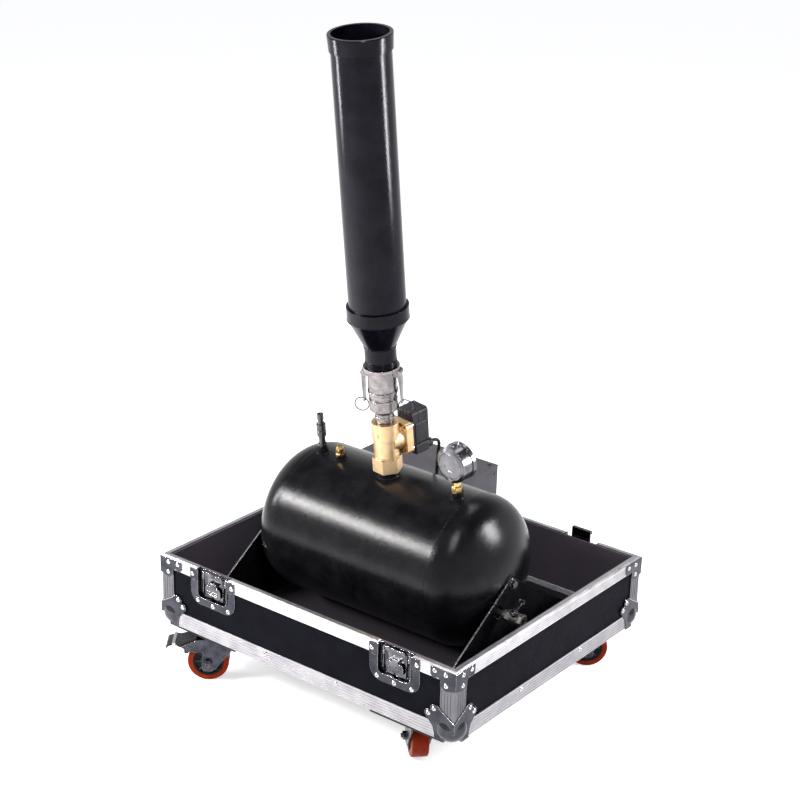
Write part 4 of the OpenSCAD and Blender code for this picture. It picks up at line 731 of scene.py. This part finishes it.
def rivet_places():
    """Frame of each rivet, with Z out of the face that it holds."""
    face = [(52.4, 42.9), (41.4, 54.5), (42, CASE_H - 9.3), (19.3, CASE_H - 10.3), (18.5, CASE_H - 29.8)]
    for sx in (-1, 1):
        for sy in (-1, 1):
            for m in (corner_frame(sx, sy), corner_frame(sx, sy) @ MIRROR_XY):
                for x, z in face:
                    yield looking(m, x, -SHEET_T, z)
    for i in range(4):
        for s in (-1, 1):
            yield looking(latch_frame(i), s * (DISH_W / 2 - 5.5), -SHEET_T, -14)
            yield looking(latch_frame(i), s * (DISH_W / 2 - 16), EDGE_T - SHEET_T, DISH_FOOT + 7)
        yield looking(latch_frame(i), 0, EDGE_T - SHEET_T, DISH_FOOT + 5.2)
    for angle, depth, along in ((0, CASE_W, FRONT_RIVET_X), (180, CASE_W, FRONT_RIVET_X),
                                (90, CASE_L, SIDE_RIVET_Y), (-90, CASE_L, SIDE_RIVET_Y)):
        for s in (-1, 1):
            yield looking(turn(angle, "Z"), s * along, -depth / 2, CASE_Z + PROFILE_RIVET_Z)


def rivet_pin_shade(m):
    """Pin of each blind rivet, painted near black as the shade in its hole."""
    shape = Shape()
    for place in rivet_places():
        shape.turned(place, [(1.3, 0.3), (1.3, 0.62), (0.7, 0.8)], 10)
    shape.done("rivet_pin_shade", m["ink"], slot="pointer")


def weld_bead(shape, m, r, width, n=90, dip=None, seed=1):
    """Bead round a bung; dip gives the drop of the tank's skin at a place round it."""
    dice = random.Random(seed)
    path, radii = [], []
    for k in range(n):
        a = 2 * math.pi * k / n
        x, y = r * math.cos(a), r * math.sin(a)
        z = dip(y) if dip else 0
        path.append((x, y, z))
        radii.append(width * (1 + 0.12 * math.sin(a * n / 4) + dice.uniform(-0.06, 0.06)))
    shape.tube(m, path, width, 8, True, radii)


def tank_welds(m):
    """Seams round the bungs and the dished ends."""
    def skin(y):
        return math.sqrt(TANK_R ** 2 - y * y) - TANK_R

    shape = Shape()
    for k, (x, r, width) in enumerate(BUNG_WELDS):
        weld_bead(shape, at_tank(x, 0), r, width, int(4.5 * r), skin, k + 1)
    seams = ((TANK_HALF, TANK_R - 1.5, 1.75, 420, 7), (TANK_END - 1.2, 16.2, 1.6, 60, 9))
    for s in (-1, 1):
        for x, r, width, n, seed in seams:
            weld_bead(shape, shift(s * x, TANK_Y, TANK_Z) @ turn(90, "Y"), r, width, n, None, seed + s)
    shape.done("tank_welds", m["tank"], slot="black_steel")


def gauge_marks(m):
    """Strokes, ring and numbers 0 to 10 of the dial."""
    face = gauge_frame() @ shift(0, 4.5, 0) @ Matrix(
        ((-1, 0, 0, 0), (0, 0, 1, 0), (0, 1, 0, 0), (0, 0, 0, 1)))
    shape = Shape()
    for k in range(51):
        half, inner = (0.35, 19.8) if k % 5 == 0 else (0.16, 22)
        spot = face @ turn(DIAL_START - DIAL_SWEEP * k / 50, "Z")
        shape.box(spot, inner, DIAL_R, -half, half, 0.0, 0.12, 0.02)
    for k in range(40):
        a, b = (math.radians(DIAL_START - DIAL_SWEEP * (k + t) / 40) for t in (0, 1))
        ring = [(r * math.cos(t), r * math.sin(t))
                for r, t in ((DIAL_R + 0.6, a), (DIAL_R, a), (DIAL_R, b), (DIAL_R + 0.6, b))]
        shape.slab(face, ring, 0.0, 0.12, 0.01)
    for k in range(6):
        a = math.radians(DIAL_START - DIAL_SWEEP * k / 5)
        data = bpy.data.curves.new("dial_number", "FONT")
        data.body = str(2 * k)
        data.size = 6
        data.align_x = data.align_y = "CENTER"
        data.extrude = 0.06
        data.resolution_u = 3
        text = bpy.data.objects.new("dial_number", data)
        bpy.context.scene.collection.objects.link(text)
        bpy.context.view_layer.update()
        mesh = bpy.data.meshes.new_from_object(text)
        place = face @ shift(15.4 * math.cos(a), 15.4 * math.sin(a), 0.06)
        shape.put(place, [v.co.copy() for v in mesh.vertices], [list(p.vertices) for p in mesh.polygons])
        bpy.data.objects.remove(text)
        bpy.data.curves.remove(data)
        bpy.data.meshes.remove(mesh)
    shape.done("gauge_marks", m["ink"], slot="pointer", sharp=20)


def gauge_back(m):
    """Socket outline on the closed back, and the rubber blow-out plug on top."""
    back = gauge_frame() @ shift(0, -GAUGE_T / 2, 0) @ turn(90, "X")
    shape = Shape()
    outer = round_outline(15, 12, 1.2, 4, 0, -15)
    shape.tube(back, [(x, y, 0.1) for x, y in outer], 0.5, 8, True)
    shape.turned(back @ shift(0, -26, -3), [(4.5, 0), (4.5, 3.4), (4, 3.9)], 24)
    shape.done("gauge_back_socket", m["stainless"], slot="stainless")
    plug = Shape()
    plug.turned(gauge_frame() @ shift(0, 0, GAUGE_R + 1.6),
                [(3.6, 0), (3.6, 1), (2.6, 1.7), (0.6, 1.9)], 24)
    plug.done("gauge_blow_out_plug", m["rubber"], slot="rubber")


def gland_nuts(m):
    """Ribbed nuts of the cable glands, on the connector and on the box."""
    shape = Shape()
    for place, r, h in ((valve_frame() @ shift(OUTLET_X, CONNECTOR_Y, OUTLET_Z) @ turn(-90, "X"), 8.2, 7),
                        (shift(*GLAND) @ shift(0, 0, 7), 6.4, 6)):
        n, points, faces = 48, [], []
        for z, cut in ((0, 0.9), (1, 0), (h - 1, 0), (h, 1.2)):
            for k in range(n):
                a = 2 * math.pi * k / n
                rr = r - cut - (0.5 if k % 4 == 0 else 0)
                points.append((rr * math.cos(a), rr * math.sin(a), z))
        inner = CABLE_D / 2 + 0.1
        points += arc(inner, h, n) + arc(inner, 0, n)
        rows = len(points) // n
        for j in range(rows):
            after = (j + 1) % rows
            for k in range(n):
                beside = (k + 1) % n
                faces.append((j * n + k, j * n + beside, after * n + beside, after * n + k))
        shape.put(place, points, faces)
    shape.done("gland_nuts", m["plastic"], slot="black_plastic")


def box_details(m):
    """Screws of the control box, and the pins and screws of the sockets in its end."""
    x0, x1, y0, y1, z0, z1 = BOX
    screws = Shape()
    for x in (x0 + 12, (x0 + x1) / 2, x1 - 12):
        for y in (y0 + 10, y1 - 10):
            place = shift(x, y, z1)
            screws.turned(place, [(3.6, 0), (3.6, 0.8), (2.9, 1.5), (1.2, 1.7)], 20)
            for a in (0, 90):
                screws.box(place @ turn(a + 20, "Z"), -1.8, 1.8, -0.25, 0.25, 1.6, 1.78, 0.02)
    for z in (z0 + 14, (z0 + z1) / 2, z1 - 16):
        for y in (y0 + 9, y1 - 9):
            screws.turned(shift(x1, y, z) @ turn(90, "Y"),
                          [(2.6, 0), (2.6, 0.5), (1.9, 1.1), (0.7, 1.2)], 18)
    screws.done("box_screws", m["oxide"], slot="black_steel")
    pins = Shape()
    for y, z in ((y0 + 32, z1 - 45), (y1 - 32, z1 - 45), ((y0 + y1) / 2, z1 - 100)):
        place = shift(x0 + 10.9, y, z) @ turn(-90, "Y")
        for k in range(3):
            a = math.radians(120 * k + 90)
            pins.turned(place @ shift(4.6 * math.cos(a), 4.6 * math.sin(a), 0),
                        [(1.1, -0.2), (1.1, 7), (0.6, 7.8)], 12)
        for sy in (-1, 1):
            pins.turned(shift(x0 - 2, y + sy * 10.4, z + sy * 12.6) @ turn(-90, "Y"),
                        [(1.6, -0.2), (1.6, 0.4), (0.9, 0.8)], 12)
    pins.done("socket_pins", m["bright"], slot="bright")


def floor_light_patches(m):
    """Painted light on the lining: a light grey strip at the foot of the back wall stands for a lit strip
    of floor, and a bright washer for a round lit patch; both lie on the lining.
    """
    strip = Shape()
    # painted light: light grey strip where the floor at the back wall's foot is lit
    strip.box(Matrix(), *LIT_STRIP, LINING_Z, LINING_Z + 9, 0.8)
    strip.done("wall_foot_strip", m["strip"], slot="lining")
    # painted light: bright washer where a round patch of the floor is lit
    lit_patch = Shape()
    place = shift(*LIT_WASHER, LINING_Z)
    lit_patch.turned(place, [(6.5, 0.02), (17, 0.02), (17.3, 0.3), (17.3, 1.5), (17, 1.8), (6.5, 1.8),
                          (6.2, 1.5), (6.2, 0.3), (6.5, 0.02)], 40)
    lit_patch.done("lit_patch_washer", m["bright"], slot="bright")


def spring_path(length, r, turns, per=14):
    """Centre line of a coil spring along Z."""
    n = int(turns * per)
    return [(r * math.cos(2 * math.pi * k / per), r * math.sin(2 * math.pi * k / per), length * k / n)
            for k in range(n + 1)]


def latch_details(m, i):
    """Stamped ribs and springs of one latch, and the raised spots of its moving plates."""
    name = CORNERS[i]
    base = latch_frame(i)
    floor_y = POCKET_D - SHEET_T
    ribs = Shape()
    for s in (-1, 1):
        ribs.tube(base, [(s * 29.5, floor_y - 0.1, z) for z in (-12, -20, -32, -44, -50)], 1.3, 8)
        ribs.tube(base, [(s * x, floor_y - 0.1, -50.5) for x in (21.6, 23.4, 25.2, 27)], 1.1, 8)
        for z in (-16, -24):
            ribs.turned(looking(base, s * 30.5, floor_y, z - 22), [(2.0, 0), (2.0, 0.9), (1.2, 1.6)], 16)
    ribs.tube(base, [(x, -SHEET_T + 0.35, -24.6) for x in (-46, -38)], 0.5, 6)
    ribs.tube(base, [(x, -SHEET_T + 0.35, -24.6) for x in (38, 46)], 0.5, 6)
    ribs.done("latch_ribs_" + name, m["bright"], slot="zinc")

    spring = Shape()
    for s in (-1, 1):
        coil = base @ shift(s * SPRING_X, floor_y - 2.6, -6) @ turn(180, "X")
        spring.tube(coil, spring_path(15, 2.1, 9), 0.42, 6)
        hook_end = [(s * SPRING_X, floor_y - 0.6, -6), (s * (SPRING_X - 2), floor_y - 0.8, -4.4),
                    (s * 22.6, 5.6, -4.4)]
        spring.tube(base, hook_end, 0.42, 6)
    spring.done("latch_springs_" + name, m["rivet"], slot="bright")

    lug = Shape()
    knob = knob_frame(i)
    lug.turned(looking(knob, 0, 3.7, 0), [(5.2, 0), (5.2, 0.5), (4.4, 0.95), (1.8, 1.0)], 28)
    for s in (-1, 1):
        lug.turned(looking(knob, s * 7.75, 0.55, 12.6) @ turn(90, "Y"),
                   [(1.5, -1.35), (1.5, 1.35)], 14)
    lug.done("latch_hub_cap_" + name, m["bright"], "latch_knob_" + name, "bright")

    ridge = Shape()
    for z in (-9.5, -6.2, -2.9):
        half = 10.5 if z < -8 else 13
        ridge.tube(knob, [(x, 1.0, z) for x in (-half, -half * 0.6, half * 0.6, half)], 0.55, 8)
    ridge.done("latch_wing_ridges_" + name, m["bright"], "latch_wing_" + name, "bright")

    lip = Shape()
    rise = HOOK_RISE if i > 1 else 0
    for z in (-9.5, -13):
        lip.tube(base @ shift(0, 0, rise), [(x, 6.1, z) for x in (-14, -8, 8, 14)], 0.7, 8)
    lip.done("latch_hook_ribs_" + name, m["bright"], "latch_hook_" + name, "bright")


def caster_details(m, i):
    """Race and king nut of one swivel, and the ribs and bearings of its wheel."""
    name = CORNERS[i]
    base = trail_frame(i)
    ring = Shape()
    ring.turned(base @ shift(0, 0, RACE_Z),
                [(29.6, 0), (30.4, 0.8), (30.4, 6), (29.6, 7.6), (27, 8.4)], 48)
    ring.done("caster_race_" + name, m["fork"], "caster_fork_" + name, "fork")
    king = Shape()
    king.turned(base @ shift(0, 0, KING_Z), [(8.2, 0), (8.9, 0.6), (8.9, 1.2)], 32)
    king.hexagon(base @ shift(0, 0, KING_NUT_Z), 13, 3)
    king.done("caster_king_nut_" + name, m["screw"], slot="bright")
    hub, ribs = Shape(), Shape()
    for s in (-1, 1):
        face = base @ shift(TRAIL, s * (WHEEL_W / 2 - 2.6), WHEEL_R) @ turn(-90 * s, "X")
        for k in range(8):
            spoke = face @ turn(45 * k, "Z")
            ribs.box(spoke, 12.4, 24.2, -1.3, 1.3, -0.6, 1.6, 0.3)
        ribs.turned(face, [(12.2, -0.5), (14.2, -0.5), (14.2, 1.9), (13.6, 2.3), (12.2, 2.3),
                           (12.2, -0.5)], 40)
        hub.turned(face, [(5.4, 2.6), (10.6, 2.6), (10.6, 3.2), (5.4, 3.4), (5.4, 2.6)], 36)
    ribs.done("wheel_ribs_" + name, m["plastic"], "caster_wheel_" + name, "black_plastic")
    hub.done("wheel_bearings_" + name, m["screw"], "caster_wheel_" + name, "bright")


def valve_details(m):
    """Boss and beads of the brass body, open at the bonnet's neck, and the coil's mould seams."""
    base = valve_frame()
    boss = Shape()
    place = base @ shift(2, -20, 84) @ turn(90, "X") @ turn(8, "X")
    boss.turned(place, [(7.4, 0.5), (7.0, 1.8), (6.2, 3.4), (3.1, 3.8), (2.4, 2.2), (0.6, 1.6)], 32)
    for z, opening in ((39.4, 0), (74.0, 48)):
        boss.tube(base, arc(BEAD_R, z, 64, 90 + opening, 360 - 2 * opening), 0.55, 6, opening == 0)
    boss.done("valve_boss", m["brass"], slot="brass")
    seam = Shape()
    outline = round_outline(40.6, 68.6, 6.2, 5, 0, 74)
    for y in (60, 71, 76):
        seam.tube(base, [(x, y, z) for x, z in outline], 0.45, 6, True)
    for s in (-1, 1):
        for x in (-12, -4, 4, 12):
            seam.tube(base, [(x, COIL_Y + s * 17.9, z) for z in (96, 100, 104, 106)], 0.6, 6)
    seam.done("coil_seams", m["plastic"], slot="black_plastic")
    screw = Shape()
    screw.turned(base @ shift(2, 70, 19.9) @ turn(180, "X"),
                 [(2.6, 0), (2.6, 0.8), (1.9, 1.4), (0.5, 1.4)], 20)
    screw.done("connector_screw", m["screw"], slot="bright")


def barrel_details(m):
    """Threads at the neck and the bead under the collar."""
    base = at_tank(STACK_X, 0)
    shape = Shape()
    for k in range(4):
        shape.tube(base, arc(27.5, THREAD_Z + THREAD_PITCH * k, 72), 0.5, 6, True)
    weld_bead(shape, base @ shift(0, 0, NECK_Z), NECK_R, 1.1, 100, None, 21)
    weld_bead(shape, base @ shift(0, 0, COLLAR_Z), COLLAR_R, 1.1, 190, None, 22)
    shape.done("barrel_beads", m["barrel"], slot="black_steel")


MATERIAL_OF = {
    "case_panels": "laminate", "lining": "lining", "edge_profiles": "profile", "rim_profiles": "rim",
    "ball_corners": "zinc", "corner_braces": "zinc", "case_rivets": "rivet", "latch_dishes": "zinc",
    "latch_hook": "bright", "latch_knob": "bright", "latch_wing": "bright",
    "caster_plates": "caster_plate", "caster_fork": "fork", "mounting_bolts": "screw",
    "tank_shell": "tank", "fill_nipple": "oxide", "relief_plug": "brass_turned",
    "gauge_adapter": "brass_turned", "gauge_case": "stainless", "gauge_glass": "glass",
    "gauge_dial": "dial", "gauge_pointer": "ink", "drain_valve": "nickel", "drain_lever": "fork",
    "valve_body": "brass", "valve_bonnet": "brass", "bonnet_screws": "screw",
    "valve_plunger": "stainless", "valve_coil": "plastic", "valve_connector": "plastic",
    "valve_cable": "rubber", "control_box": "box", "box_sockets": "plastic",
    "cam_coupler": "coupling", "cam_gasket": "rubber", "cam_arm": "stainless", "cam_ring": "fork",
    "barrel_tube": "barrel", "barrel_base": "barrel",
}


def dress(node, mat):
    """Gives a CAD node its material."""
    mesh = nodes[node].data
    mesh.materials.clear()
    mesh.materials.append(mat)


def dress_nodes(m):
    """Gives every CAD node the look that its name asks for."""
    for name in nodes:
        key = next((k for k in MATERIAL_OF if name == k or name.startswith(k + "_")), None)
        if key:
            dress(name, m[MATERIAL_OF[key]].mat)
    dress("end_plates", end_plate_look())
    for i, corner in enumerate(CORNERS):
        dress("caster_wheel_" + corner, wheel_look(i))
        if corner.endswith("left"):
            dress("brake_pedal_" + corner, pedal_look(i))


camera()
stage()
m = looks()
valve_cord(m)
dress_nodes(m)
ball_shells(m)
rivet_pin_shade(m)
tank_welds(m)
gauge_marks(m)
gauge_back(m)
gland_nuts(m)
box_details(m)
floor_light_patches(m)
valve_details(m)
barrel_details(m)
for index in range(4):
    latch_details(m, index)
    caster_details(m, index)
